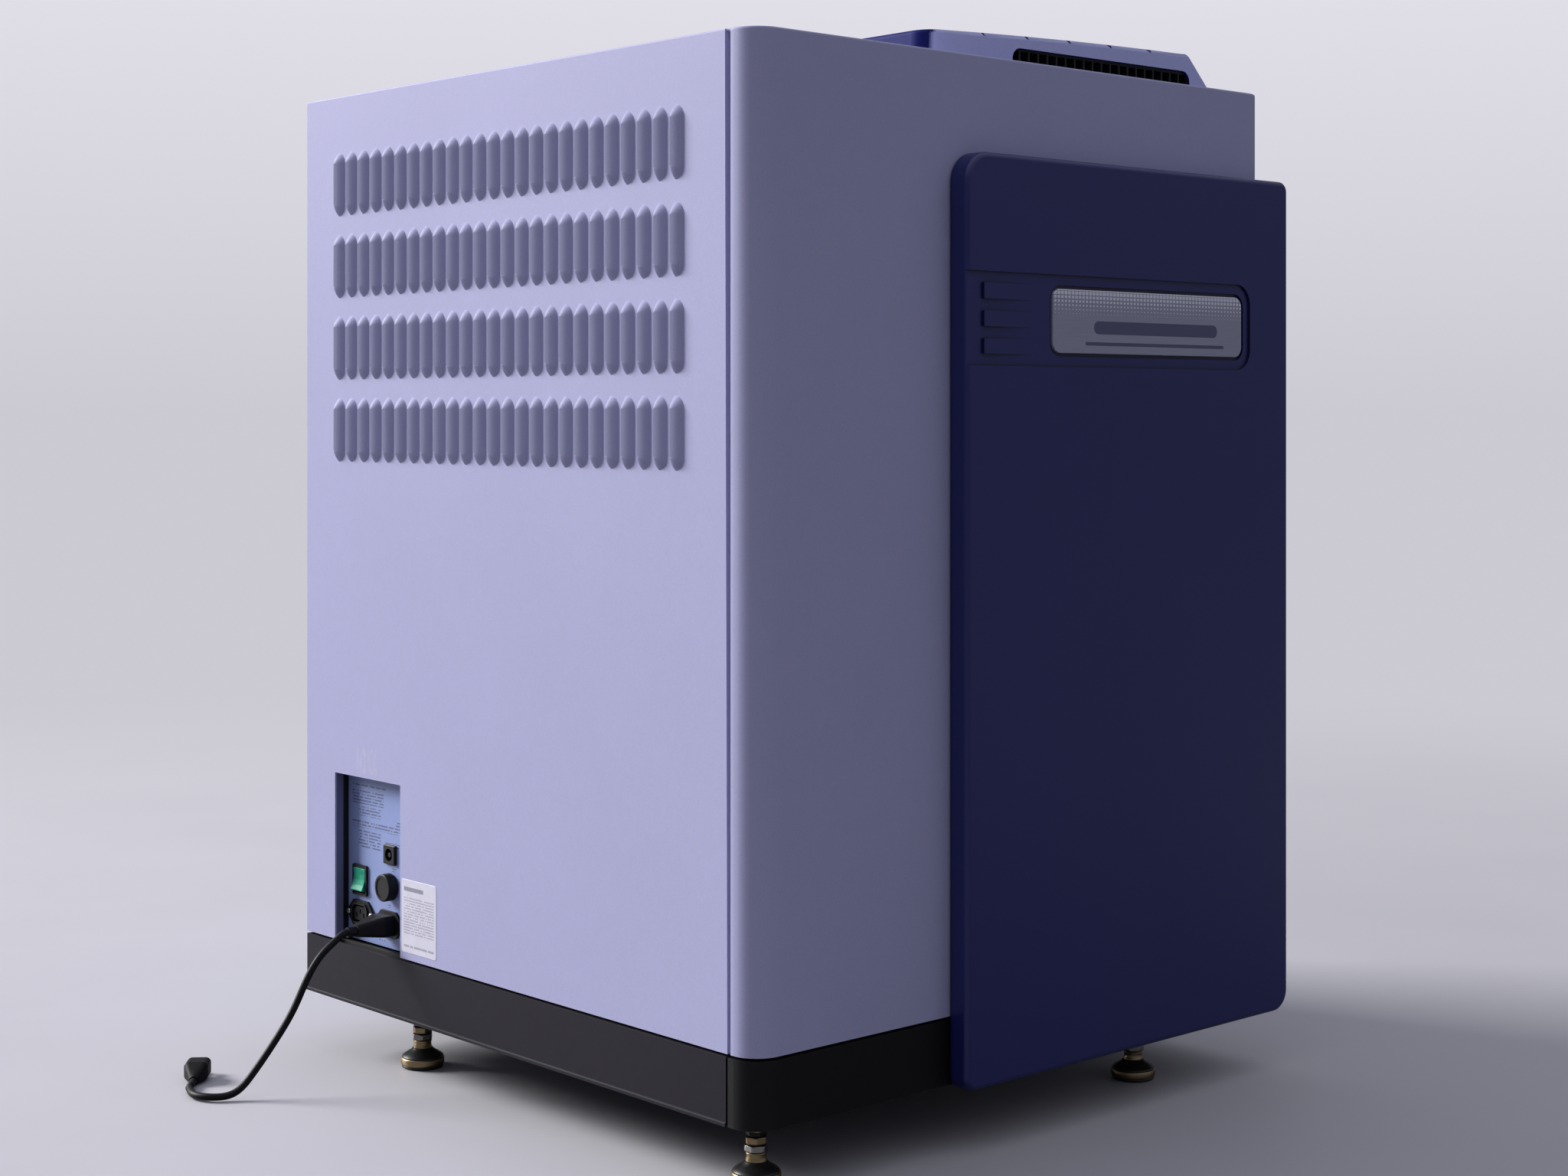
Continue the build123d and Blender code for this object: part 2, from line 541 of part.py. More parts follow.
def power_inlet():
    inlet = connector_flange(INLET_Y, INLET_Z)
    inlet = inlet - three_pin_block(INLET_Y, INLET_Z, 24.8, 17.6, -5, 16)
    return inlet + pin_bars(INLET_Y, INLET_Z, -0.5, 16.5, 0.9, 1.9)


# ---------------------------------------------------------------- power cord
def cord_connector():
    """Plug in the inlet: nose, grip, taper and boot."""
    nose = three_pin_block(INLET_Y, INLET_Z, 24.0, 16.8, -4, 14)
    nose = nose - pin_bars(INLET_Y, INLET_Z, -3, 15, 1.2, 2.2)
    grip = block_x(INLET_Y, INLET_Z, PLATE_X - 14, PLATE_X - 3.2, 13.5, 10.2)
    grip = rounded(grip, Axis.X, 4.0)

    def section(x, z, width, height, radius):
        plane = Plane(origin=(x, INLET_Y, z), x_dir=(0, 1, 0), z_dir=(-1, 0, 0))
        return plane * RectangleRounded(width, height, radius)

    taper = loft([section(PLATE_X - 14, INLET_Z, 27, 20.4, 4),
                  section(PLATE_X - 40, INLET_Z - 1.2, 12.5, 11.8, 4.5)])
    boot = Pos(PLATE_X - 44.5, INLET_Y, INLET_Z - 1.6) * Rot(0, 90, 0) * Cylinder(5.0, 9.5)
    return nose + [grip, taper, boot]


def cord_path():
    points = [(x, INLET_Y + dy, z) for x, dy, z in CORD_PATH]
    return Spline(*points, tangents=[(-1, 0, 0), PLUG_DIR])


def cord_cable():
    path = cord_path()
    section = Plane(origin=(CORD_X0, INLET_Y, CORD_PATH[0][2]), z_dir=path % 0) * Circle(CORD_R)
    return sweep(section, path=path, transition=Transition.ROUND)


def wall_plug():
    """Plug on the bench: tapered body, two flat blades and a round pin."""
    end = cord_path() @ 1
    entry = Plane(origin=(end.X, end.Y, 5.0), x_dir=PLUG_SIDE, z_dir=PLUG_DIR)
    axis = Plane(origin=(end.X, end.Y, 10.5), x_dir=PLUG_SIDE, z_dir=PLUG_DIR)
    wide = axis.offset(14) * RectangleRounded(23, 18, 5)
    body = loft([entry * Circle(4.3), wide]) + extrude(wide, 18)
    face = axis.offset(32)
    pins = [extrude(face * Pos(d, 0, 0) * Rectangle(1.5, 6.3), 16) for d in (-6.35, 6.35)]
    pins.append(extrude(face * Pos(0, 4.6, 0) * Circle(2.2), 18))
    return body + pins


# ---------------------------------------------------------------- door
def door_inner(inset, x1, y0, y1, top_r, bottom_r):
    """Block inside the door's outline with rounded left corners."""
    x0, z0, z1 = DOOR_X0 + inset, DOOR_Z0 + inset, DOOR_Z1 - inset
    block = round_corner(box(x0, x1, y0, y1, z0, z1), x0, z1, top_r)
    return round_corner(block, x0, z0, bottom_r)


def front_door():
    door = box(DOOR_X0, DOOR_X1, DOOR_YF, DOOR_YB, DOOR_Z0, DOOR_Z1)
    for x, z, radius in ((DOOR_X0, DOOR_Z1, 28), (DOOR_X0, DOOR_Z0, 12),
                         (DOOR_X1, DOOR_Z1, 10), (DOOR_X1, DOOR_Z0, 20)):
        door = round_corner(door, x, z, radius)
    door = fillet(door.faces().sort_by(Axis.Y)[0].edges(), 5.0)
    band = box(DOOR_X0 - 5, BAND_X1, DOOR_YF - 5, BAND_Y, BAND_Z0, BAND_Z1)
    band = fillet([e for e in band.edges().filter_by(Axis.Y) if e.center().X > 200], 20)
    door = door - band
    pocket = box(NAME_X0 - NAME_GAP, NAME_X1 + NAME_GAP, BAND_Y - 1, NAME_BACK_Y,
                 NAME_Z0 - NAME_GAP, NAME_Z1 + NAME_GAP)
    door = door - rounded(pocket, Axis.Y, 13)
    door = door - door_inner(3.5, 325, DOOR_YF + 6, DOOR_YB + 1, 24.5, 9)
    ribs = []
    for z0, z1 in RIB_Z:
        rib = prism_z([(-91.4, BAND_Y + 1), (-91.4, DOOR_YF - 0.2), (-88.5, DOOR_YF - 0.4),
                       (-26.5, BAND_Y), (-26.5, BAND_Y + 1)], z0, z1)
        crest = [e for e in rib.edges().filter_by(Axis.Z) if e.center().Y < DOOR_YF - 0.3]
        ribs.append(fillet(crest, 1.0))
    door = door + ribs
    # Room for the knuckles; the lower relief runs out through the door's bottom edge.
    for z0, _, _, z1 in HINGES:
        relief_z0 = DOOR_Z0 - 5 if z0 < 100 else z0 - 1.5
        door = door - rod_z(PIN_X, PIN_Y, relief_z0, z1 + 1.5, KNUCKLE_R + 2.3)
    # Room for the webs of the moving leaves.
    return door - [box(PIN_X - 12, PIN_X + 3, PIN_Y - 0.3, -340, low, high)
                   for _, low, high, _ in HINGES]


def door_back_plate():
    return door_inner(3.8, 324.7, DOOR_YB - 2, DOOR_YB, 24.2, 8.7)


def name_plate():
    plate = box(NAME_X0, NAME_X1, BAND_Y - 0.9, NAME_BACK_Y, NAME_Z0, NAME_Z1)
    plate = rounded(plate, Axis.Y, 10)
    return fillet(plate.faces().sort_by(Axis.Y)[0].edges(), 0.8)


def cabinet_hinge_leaves():
    """Fixed leaves on the cabinet's right side, with the outer knuckles."""
    leaves = []
    x0, x1 = HALF_W, HALF_W + LEAF_T
    for z0, low, high, z1 in HINGES:
        leaf = box(x0, x1, -343, -285, z0, z1)
        leaf = leaf + [box(x0, x1, -349, -343, z0, low), box(x0, x1, -349, -343, high, z1)]
        leaf = leaf + [rod_z(PIN_X, PIN_Y, z0, low, KNUCKLE_R),
                       rod_z(PIN_X, PIN_Y, high, z1, KNUCKLE_R)]
        leaf = leaf - rod_z(PIN_X, PIN_Y, z0 - 1, z1 + 1, PIN_R)
        leaves.append(leaf - [rod_x(HINGE_SCREW_Y, z, HALF_W - 1, HALF_W + 4, SCREW_HOLE_R)
                              for z in HINGE_SCREW_Z if z0 < z < z1])
    return leaves


def door_hinge_leaves():
    """Moving leaves behind the door, with the middle knuckles."""
    leaves = []
    for z0, low, high, z1 in HINGES:
        low, high = low + KNUCKLE_GAP, high - KNUCKLE_GAP
        web = box(PIN_X - 6, PIN_X, PIN_Y, -345.3, low, high)
        leaf = rod_z(PIN_X, PIN_Y, low, high, KNUCKLE_R) + web
        leaf = leaf + box(290, PIN_X, -346.9, -345.3, low, high)
        leaves.append(leaf - rod_z(PIN_X, PIN_Y, z0 - 1, z1 + 1, PIN_R + 0.06))
    return leaves


def hinge_pins():
    return [rod_z(PIN_X, PIN_Y, z0, z1, PIN_R) + rod_z(PIN_X, PIN_Y, z1, z1 + 1.2, KNUCKLE_R - 1.6)
            for z0, _, _, z1 in HINGES]


def door_seal():
    """Seal round the loading bay, on the front shell."""
    return bay_block(14, -346.8, -HALF_D, 18) - bay_block(5, -348, -344, 12)


def door_magnets():
    return [rod_y(-92, z, -346.7, -HALF_D, 9) for z in (300.0, 560.0)]


def bay_sleeve():
    """Lining of the loading bay."""
    return bay_block(-0.2, -HALF_D + 0.2, -296, 8.8) - bay_block(-3, -HALF_D - 2, -290, 6)


# ---------------------------------------------------------------- feet
def levelling_foot(x, y):
    base = rod_z(x, y, 0, 3.0, 19.5)
    base = chamfer(circles(base, Axis.Z, 0), 0.8)
    tread = rod_z(x, y, 3.0, 10.0, 21.3)
    tread = chamfer(tread.edges().filter_by(GeomType.CIRCLE), 0.6)
    cone = Pos(x, y, 15.25) * Cone(20.4, 10.0, 10.5)
    neck = Pos(x, y, 25.0) * Cone(8.8, 7.6, 9.0)
    collar = rod_z(x, y, 29.5, 33.0, 8.4)
    nut = extrude(Pos(x, y, 33.0) * RegularPolygon(8.7, 6, major_radius=False), 6.5)
    stud = rod_z(x, y, 39.5, 100.0, STUD_R)
    return base + [tread, cone, neck, collar, nut, stud]


def jam_nuts():
    nuts = []
    for x, y in FEET.values():
        nut = extrude(Pos(x, y, 45.0) * RegularPolygon(9.5, 6, major_radius=False), 10.0)
        nut = nut & (Pos(x, y, 50) * Cylinder(10.6, 10.0))
        nuts.append(nut - rod_z(x, y, 44, 56, STUD_HOLE_R))
    return nuts


# ---------------------------------------------------------------- thermal stage
def on_block(half_x, half_y, z0, z1):
    """Box centred over the thermal block."""
    return block_z(STAGE_X, BLOCK_Y, z0, z1, half_x, half_y)


def stage_rails():
    return [box(STAGE_X + d - 6, STAGE_X + d + 6, -286, 215, SHELF_TOP, 414)
            for d in RAIL_OFFSETS]


def stage_carriage():
    """Plate on four rail blocks, with the lead screw nut underneath."""
    carriage = box(STAGE_X - 70, STAGE_X + 70, -290, -150, CARRIAGE_Z0, CARRIAGE_Z1)
    blocks = []
    for d in RAIL_OFFSETS:
        x = STAGE_X + d
        for y0 in (-284, -196):
            block = box(x - 14, x + 14, y0, y0 + 40, 402, CARRIAGE_Z0)
            blocks.append(block - box(x - 6.06, x + 6.06, y0 - 1, y0 + 41, 401, 414.06))
    nut = box(STAGE_X - 14, STAGE_X + 14, -240, -205, 412, CARRIAGE_Z0)
    carriage = carriage + blocks + [nut]
    return carriage - rod_y(STAGE_X, LEAD_Z, -245, -200, LEAD_HOLE_R)


def lead_screw():
    screw = rod_y(STAGE_X, LEAD_Z, -294, 238, LEAD_R)
    return screw + rod_y(STAGE_X, LEAD_Z, 214, 222, 9.0)


def stage_motor():
    motor = chamfer(block_y(STAGE_X, LEAD_Z, 226, 274, 21, 21).edges().filter_by(Axis.Y), 4)
    motor = motor - rod_y(STAGE_X, LEAD_Z, 225, 240, LEAD_HOLE_R)
    return motor + box(STAGE_X - 21, STAGE_X + 21, 231, 272, SHELF_TOP, 403.5)


def heat_sink():
    return on_block(60, 50, CARRIAGE_Z1, SINK_TOP) - [
        box(STAGE_X - 56 + i * 8, STAGE_X - 51 + i * 8, -281, -179, 443, 470)
        for i in range(14)]


def peltier_modules():
    return [block_z(STAGE_X + dx, BLOCK_Y + dy, SINK_TOP, PELTIER_TOP, 19, 19)
            for dx in (-22, 22) for dy in (-22, 22)]


def thermal_block():
    """Block with 12 x 8 conical wells."""
    pitch = 7.0
    block = rounded(on_block(48, 42, PELTIER_TOP, BLOCK_TOP), Axis.Z, 4)
    return block - [
        Pos(STAGE_X + (i - 5.5) * pitch, BLOCK_Y + (j - 3.5) * pitch, BLOCK_TOP - 2.5)
        * Cone(1.2, 2.6, 5.01)
        for i in range(12) for j in range(8)]


def plate_nest():
    """Frame round the thermal block, on two side legs."""
    nest = rounded(on_block(66, 48, SINK_TOP, 498), Axis.Z, 5)
    nest = nest - on_block(48.3, 42.3, 470, 500)
    nest = nest - on_block(63.9, 45.8, 494.5, 500)
    nest = nest - on_block(62, 60, 477, 486)
    return nest + [box(STAGE_X + side * 66, STAGE_X + side * 60.2, -278, -182,
                       CARRIAGE_Z1, 486) for side in (-1, 1)]


# ---------------------------------------------------------------- optics
def wheel_spots(radius, start_angle):
    """Six centres evenly spaced round the filter wheel."""
    angles = [math.radians(start_angle + i * 60) for i in range(6)]
    return [(WHEEL_X + radius * math.cos(a), LENS_Y + radius * math.sin(a)) for a in angles]


def optics_bridge():
    """Bridge plate on two legs, with the camera's upright."""
    bridge = box(-20, 245, -60, 260, 640, 650)
    bridge = bridge + [box(x, x + 8, -60, 120, SHELF_TOP, 640) for x in (-20, 237)]
    bridge = bridge + [box(57, 65, -30, 70, 650, 800)]
    return bridge - [rod_z(LENS_X, LENS_Y, 630, 660, 26),
                     rod_z(WHEEL_X, LENS_Y, 630, 660, WHEEL_HOLE_R)]


def lens_housing():
    housing = rod_z(LENS_X, LENS_Y, 572, 640, 31) + rod_z(LENS_X, LENS_Y, 556, 572, 46)
    housing = chamfer(circles(housing, Axis.Z, 0), 2)
    housing = housing - rod_z(LENS_X, LENS_Y, 550, 645, 24)
    return housing + rod_z(LENS_X, LENS_Y, 590, 596, 24)


def filter_wheel():
    wheel = rod_z(WHEEL_X, LENS_Y, 662, 668, WHEEL_R) + rod_z(WHEEL_X, LENS_Y, 657, 662, 12)
    wheel = wheel + rod_z(WHEEL_X, LENS_Y, 628, 657, WHEEL_SHAFT_R)
    wheel = wheel - [rod_z(x, y, 660, 670, FILTER_R) for x, y in wheel_spots(FILTER_RING_R, 180)]
    return wheel - [rod_z(x, y, 660, 670, 6) for x, y in wheel_spots(28, 30)]


def emission_filters():
    return [rod_z(x, y, 663, 667, FILTER_R) for x, y in wheel_spots(FILTER_RING_R, 180)]


def filter_wheel_motor():
    motor = rod_z(WHEEL_X, LENS_Y, 600, 640, 18)
    return motor - rod_z(WHEEL_X, LENS_Y, 626, 641, WHEEL_HOLE_R)


def camera():
    """Camera body with a hollow lens barrel below and slots in its front face."""
    body = rounded(block_z(LENS_X, LENS_Y, 700, 800, 45, 45), Axis.Z, 5)
    body = body + rod_z(LENS_X, LENS_Y, 674, 700, 25)
    body = body - rod_z(LENS_X, LENS_Y, 670, 698, 20)
    return body - [box(60, 160, -30, -20, 712 + i * 12, 716 + i * 12) for i in range(7)]


def lamp_house():
    """Slotted block hung from the lamp bars."""
    house = rounded(box(60, 260, -210, -30, 850, 953.5), Axis.Z, 6)
    return house - [box(80 + i * 18, 88 + i * 18, -220, -20, 880, 935) for i in range(9)]


# ---------------------------------------------------------------- fan
def fan_frame():
    frame = rounded(block_y(FAN_X, FAN_Z, FAN_Y0, FAN_Y1, 60, 60), Axis.Y, 6)
    frame = frame - rod_y(FAN_X, FAN_Z, FAN_Y0 - 1, FAN_Y1 + 1, 57.5)
    hub = rod_y(FAN_X, FAN_Z, FAN_Y0, FAN_Y0 + 6, 24)
    arms = [block_y(FAN_X, FAN_Z, FAN_Y0, FAN_Y0 + 4, half_x, half_z)
            for half_x, half_z in ((58.5, 3.5), (3.5, 58.5))]
    frame = frame + [hub] + arms
    return frame - rod_y(FAN_X, FAN_Z, FAN_Y0 - 1, FAN_Y0 + 10, 3.06)


def fan_rotor():
    blade_count = 7
    rotor = rod_y(FAN_X, FAN_Z, FAN_Y0 + 6.5, FAN_Y1 - 4, 22)
    rotor = fillet(circles(rotor, Axis.Y, -1), 2.5)
    rotor = rotor + rod_y(FAN_X, FAN_Z, FAN_Y0 + 1, FAN_Y0 + 6.5, 3.0)
    blade = Pos(0, 0, 37.6) * Rot(0, 0, 38) * Box(30, 1.8, 33.5)
    centre = Pos(FAN_X, (FAN_Y0 + FAN_Y1) / 2 + 2, FAN_Z)
    return rotor + [centre * Rot(0, i * 360 / blade_count, 0) * blade
                    for i in range(blade_count)]


def fan_guard():
    """Wire rings, centre disc and two crossed bars."""
    wires = [Pos(FAN_X, HALF_D - 0.6, FAN_Z) * Rot(90, 0, 0) * Torus(radius, 0.9)
             for radius in (14, 25, 36, 47, 58)]
    wires.append(rod_y(FAN_X, FAN_Z, HALF_D - 1.4, HALF_D + 0.2, 6))
    wires += [Pos(FAN_X, HALF_D + 0.4, FAN_Z) * Rot(0, angle, 0) * Box(166, 1.8, 1.8)
              for angle in (45, 135)]
    return wires[0] + wires[1:]


# ---------------------------------------------------------------- electronics
def power_supply():
    supply = box(-230, -30, 60, 300, DECK_FLOOR, 205)
    return supply - [box(-231, -218, 85 + i * 22, 95 + i * 22, 140, 185) for i in range(9)]


def control_board():
    """Board with component blocks, on four round standoffs."""
    board_z0, board_z1 = 130, 131.6
    components = [  # x0, x1, y0, y1, top z
        (70, 110, -180, -140, 140), (150, 200, -120, -70, 137), (230, 280, -180, -60, 150),
        (60, 90, 20, 100, 144), (130, 260, 60, 90, 143)]
    board = box(40, 300, -220, 120, board_z0, board_z1)
    blocks = [box(x0, x1, y0, y1, board_z1, z1) for x0, x1, y0, y1, z1 in components]
    standoffs = [rod_z(x, y, DECK_FLOOR, board_z0, 4)
                 for x in (50.0, 290.0) for y in (-210.0, 110.0)]
    return board + blocks + standoffs


# ---------------------------------------------------------------- write out
BUILDERS = [
    base_frame, base_deck, upper_frame, plinth_front, plinth_rear_wrap, front_shell,
    left_side_panel, right_side_panel, rear_panel, top_panel, top_hood, hood_grille,
    inlet_recess_box, connector_plate, switch_bezel, switch_rocker, data_port,
    round_port_socket, round_port_cap, power_outlet, outlet_screws, power_inlet,
    cord_connector, cord_cable, wall_plug, front_door, door_back_plate, name_plate,
    cabinet_hinge_leaves, door_hinge_leaves, hinge_pins, button_head_screws, door_seal,
    door_magnets, bay_sleeve, jam_nuts, stage_rails, stage_carriage, lead_screw,
    stage_motor, heat_sink, peltier_modules, thermal_block, plate_nest, optics_bridge,
    lens_housing, filter_wheel, emission_filters, filter_wheel_motor, camera, lamp_house,
    fan_frame, fan_rotor, fan_guard, power_supply, control_board]

parts = {build.__name__: build() for build in BUILDERS}
for corner, (x, y) in FEET.items():
    parts["levelling_foot_" + corner] = levelling_foot(x, y)
parts = {name: made if isinstance(made, list) else [made] for name, made in parts.items()}

bounds = [solid.bounding_box() for solids in parts.values() for solid in solids]
low = [min(getattr(b.min, a) for b in bounds) for a in "XYZ"]
high = [max(getattr(b.max, a) for b in bounds) for a in "XYZ"]
shift = Pos(-(low[0] + high[0]) / 2, -(low[1] + high[1]) / 2, -low[2])

os.makedirs("parts", exist_ok=True)
for name, solids in parts.items():
    moved = [shift * solid for solid in solids]
    export_step(moved[0] if len(moved) == 1 else Compound(moved),
                os.path.join("parts", name + ".step"))
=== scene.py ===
import bpy, bmesh, json, math, random
from mathutils import Vector, Matrix


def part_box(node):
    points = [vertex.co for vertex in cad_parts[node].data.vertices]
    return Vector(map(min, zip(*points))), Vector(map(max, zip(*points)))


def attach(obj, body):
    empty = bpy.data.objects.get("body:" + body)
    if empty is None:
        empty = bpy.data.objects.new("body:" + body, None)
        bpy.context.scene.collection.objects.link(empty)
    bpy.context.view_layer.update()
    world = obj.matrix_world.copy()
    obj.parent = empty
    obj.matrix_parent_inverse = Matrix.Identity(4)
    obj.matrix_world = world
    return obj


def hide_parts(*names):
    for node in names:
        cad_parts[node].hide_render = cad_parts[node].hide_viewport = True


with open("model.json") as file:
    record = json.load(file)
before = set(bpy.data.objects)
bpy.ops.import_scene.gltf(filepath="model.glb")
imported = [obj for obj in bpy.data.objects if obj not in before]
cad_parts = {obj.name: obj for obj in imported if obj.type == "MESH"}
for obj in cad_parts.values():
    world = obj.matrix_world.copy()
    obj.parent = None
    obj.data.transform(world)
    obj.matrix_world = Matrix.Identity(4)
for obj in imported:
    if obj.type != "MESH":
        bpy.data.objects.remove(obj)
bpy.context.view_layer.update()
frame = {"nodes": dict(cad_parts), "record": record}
_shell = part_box("front_shell")
SX = (_shell[0].x + _shell[1].x) / 2           # cabinet centre line in the shared frame
SY = _shell[0].y + 0.345


def P(x, y, z):
    """Cabinet millimetres to the shared frame in metres."""
    return Vector((x / 1000 + SX, y / 1000 + SY, z / 1000))


# ------------------------------------------------------------------ materials
def nodes_of(m):
    m.use_nodes = True
    nt = m.node_tree
    nt.nodes.clear()
    out = nt.nodes.new("ShaderNodeOutputMaterial")
    b = nt.nodes.new("ShaderNodeBsdfPrincipled")
    nt.links.new(b.outputs[0], out.inputs[0])
    return nt, b


def N(nt, kind, **kw):
    n = nt.nodes.new(kind)
    for k, v in kw.items():
        if hasattr(n, k):
            setattr(n, k, v)
        else:
            n.inputs[k].default_value = v
    return n


def coords(nt):
    return nt.nodes.new("ShaderNodeTexCoord").outputs["Object"]


def noise(nt, vec, scale, detail=3.0, rough=0.5, dist=0.0):
    n = nt.nodes.new("ShaderNodeTexNoise")
    n.inputs["Scale"].default_value = scale
    n.inputs["Detail"].default_value = detail
    n.inputs["Roughness"].default_value = rough
    n.inputs["Distortion"].default_value = dist
    nt.links.new(vec, n.inputs["Vector"])
    return n.outputs["Fac"]


def ramp(nt, fac, stops):
    r = nt.nodes.new("ShaderNodeValToRGB")
    e = r.color_ramp.elements
    while len(e) > 1:
        e.remove(e[-1])
    e[0].position, e[0].color = stops[0][0], stops[0][1]
    for p, c in stops[1:]:
        k = e.new(p)
        k.color = c
    nt.links.new(fac, r.inputs[0])
    return r.outputs[0]


def rgba(c, k=1.0):
    return (c[0] * k, c[1] * k, c[2] * k, 1.0)


def mix(nt, fac, a, b, mode="MIX"):
    m = nt.nodes.new("ShaderNodeMix")
    m.data_type = "RGBA"
    m.blend_type = mode
    for i, v in ((0, fac), (6, a), (7, b)):
        if isinstance(v, (int, float)):
            m.inputs[i].default_value = v
        elif isinstance(v, tuple):
            m.inputs[i].default_value = v
        else:
            nt.links.new(v, m.inputs[i])
    return m.outputs[2]


def math_(nt, op, a, b=None, c=None):
    m = nt.nodes.new("ShaderNodeMath")
    m.operation = op
    for i, v in enumerate((a, b, c)):
        if v is None:
            continue
        if isinstance(v, (int, float)):
            m.inputs[i].default_value = v
        else:
            nt.links.new(v, m.inputs[i])
    return m.outputs[0]


def bump(nt, b, height, strength, dist, prev=None):
    k = nt.nodes.new("ShaderNodeBump")
    k.inputs["Strength"].default_value = strength
    k.inputs["Distance"].default_value = dist
    nt.links.new(height, k.inputs["Height"])
    if prev is not None:
        nt.links.new(prev, k.inputs["Normal"])
    nt.links.new(k.outputs[0], b.inputs["Normal"])
    return k.outputs[0]


def edge_mask(nt, radius=0.0012, samples=4, lo=0.0, hi=0.12):
    """1 on convex and concave edges, 0 on flats."""
    bv = nt.nodes.new("ShaderNodeBevel")
    bv.samples = samples
    bv.inputs["Radius"].default_value = radius
    geo = nt.nodes.new("ShaderNodeNewGeometry")
    d = nt.nodes.new("ShaderNodeVectorMath")
    d.operation = "DOT_PRODUCT"
    nt.links.new(bv.outputs[0], d.inputs[0])
    nt.links.new(geo.outputs["True Normal"], d.inputs[1])
    inv = math_(nt, "SUBTRACT", 1.0, d.outputs["Value"])
    mr = nt.nodes.new("ShaderNodeMapRange")
    mr.inputs["From Min"].default_value = lo
    mr.inputs["From Max"].default_value = hi
    nt.links.new(inv, mr.inputs["Value"])
    return mr.outputs[0]


MATS = {}


def powder(name, base, rough=0.42, grain=900.0, grain_s=0.25, grain_d=0.00012, mottle=0.06, edge=0.0, edge_col=None,
           spec=0.4, coat=0.0, metal=0.0, dust=0.0):
    """Textured paint: fine orange-peel grain, slow colour drift, lighter rubbed edges, a little dust on tops."""
    m = bpy.data.materials.new(name)
    nt, b = nodes_of(m)
    v = coords(nt)
    slow = noise(nt, v, 5.0, 3.0, 0.55)
    mid = noise(nt, v, 70.0, 4.0, 0.6)
    fine = noise(nt, v, grain, 2.0, 0.55)
    col = ramp(nt, slow, [(0.3, rgba(base, 1 - mottle)), (0.7, rgba(base, 1 + mottle))])
    col = mix(nt, 0.35, col, ramp(nt, mid, [(0.35, rgba(base, 1 - mottle * 0.8)), (0.65, rgba(base, 1 + mottle * 0.8))]))
    col = mix(nt, 0.30, col, ramp(nt, fine, [(0.35, rgba(base, 0.82)), (0.65, rgba(base, 1.16))]))
    if dust:
        geo = nt.nodes.new("ShaderNodeNewGeometry")
        sep = nt.nodes.new("ShaderNodeSeparateXYZ")
        nt.links.new(geo.outputs["Normal"], sep.inputs[0])
        up = math_(nt, "MULTIPLY", math_(nt, "MAXIMUM", sep.outputs[2], 0.0), dust)
        up = math_(nt, "MULTIPLY", up, mid)
        col = mix(nt, up, col, (0.55, 0.54, 0.55, 1))
    if edge:
        em = math_(nt, "MULTIPLY", edge_mask(nt), edge)
        em = math_(nt, "MULTIPLY", em, math_(nt, "ADD", mid, 0.25))
        col = mix(nt, em, col, rgba(edge_col or [min(1, c * 1.8 + 0.08) for c in base]))
    nt.links.new(col, b.inputs["Base Color"])
    r = nt.nodes.new("ShaderNodeMapRange")
    r.inputs["To Min"].default_value = rough - 0.06
    r.inputs["To Max"].default_value = rough + 0.08
    nt.links.new(mid, r.inputs["Value"])
    nt.links.new(r.outputs[0], b.inputs["Roughness"])
    b.inputs["Specular IOR Level"].default_value = spec
    b.inputs["Metallic"].default_value = metal
    if coat:
        b.inputs["Coat Weight"].default_value = coat
        b.inputs["Coat Roughness"].default_value = 0.18
    k = bump(nt, b, fine, grain_s, grain_d)
    bump(nt, b, noise(nt, v, 3.0, 1.0), 0.12, 0.002, k)
    MATS[name] = m
    return m


def metal(name, base, rough=0.28, aniso=(1, 1, 60), scale=40.0, edge=0.35, brushed=True, metallic=1.0):
    """Brushed or plated metal with directional streaks and smudges."""
    m = bpy.data.materials.new(name)
    nt, b = nodes_of(m)
    v = coords(nt)
    mp = nt.nodes.new("ShaderNodeMapping")
    mp.inputs["Scale"].default_value = aniso
    nt.links.new(v, mp.inputs["Vector"])
    streak = noise(nt, mp.outputs[0], scale, 5.0, 0.65)
    smudge = noise(nt, v, 22.0, 4.0, 0.6, 0.4)
    col = ramp(nt, streak, [(0.3, rgba(base, 0.86)), (0.7, rgba(base, 1.1))])
    col = mix(nt, math_(nt, "MULTIPLY", smudge, 0.35), col, rgba(base, 0.72))
    if edge:
        em = math_(nt, "MULTIPLY", edge_mask(nt, 0.0006), edge)
        col = mix(nt, em, col, rgba([min(1, c * 1.35 + 0.05) for c in base]))
    nt.links.new(col, b.inputs["Base Color"])
    r = nt.nodes.new("ShaderNodeMapRange")
    r.inputs["To Min"].default_value = rough - 0.08
    r.inputs["To Max"].default_value = rough + 0.16
    nt.links.new(mix(nt, 0.5, streak, smudge), r.inputs["Value"])
    nt.links.new(r.outputs[0], b.inputs["Roughness"])
    b.inputs["Metallic"].default_value = metallic
    bump(nt, b, streak, 0.08 if brushed else 0.03, 0.0001)
    MATS[name] = m
    return m


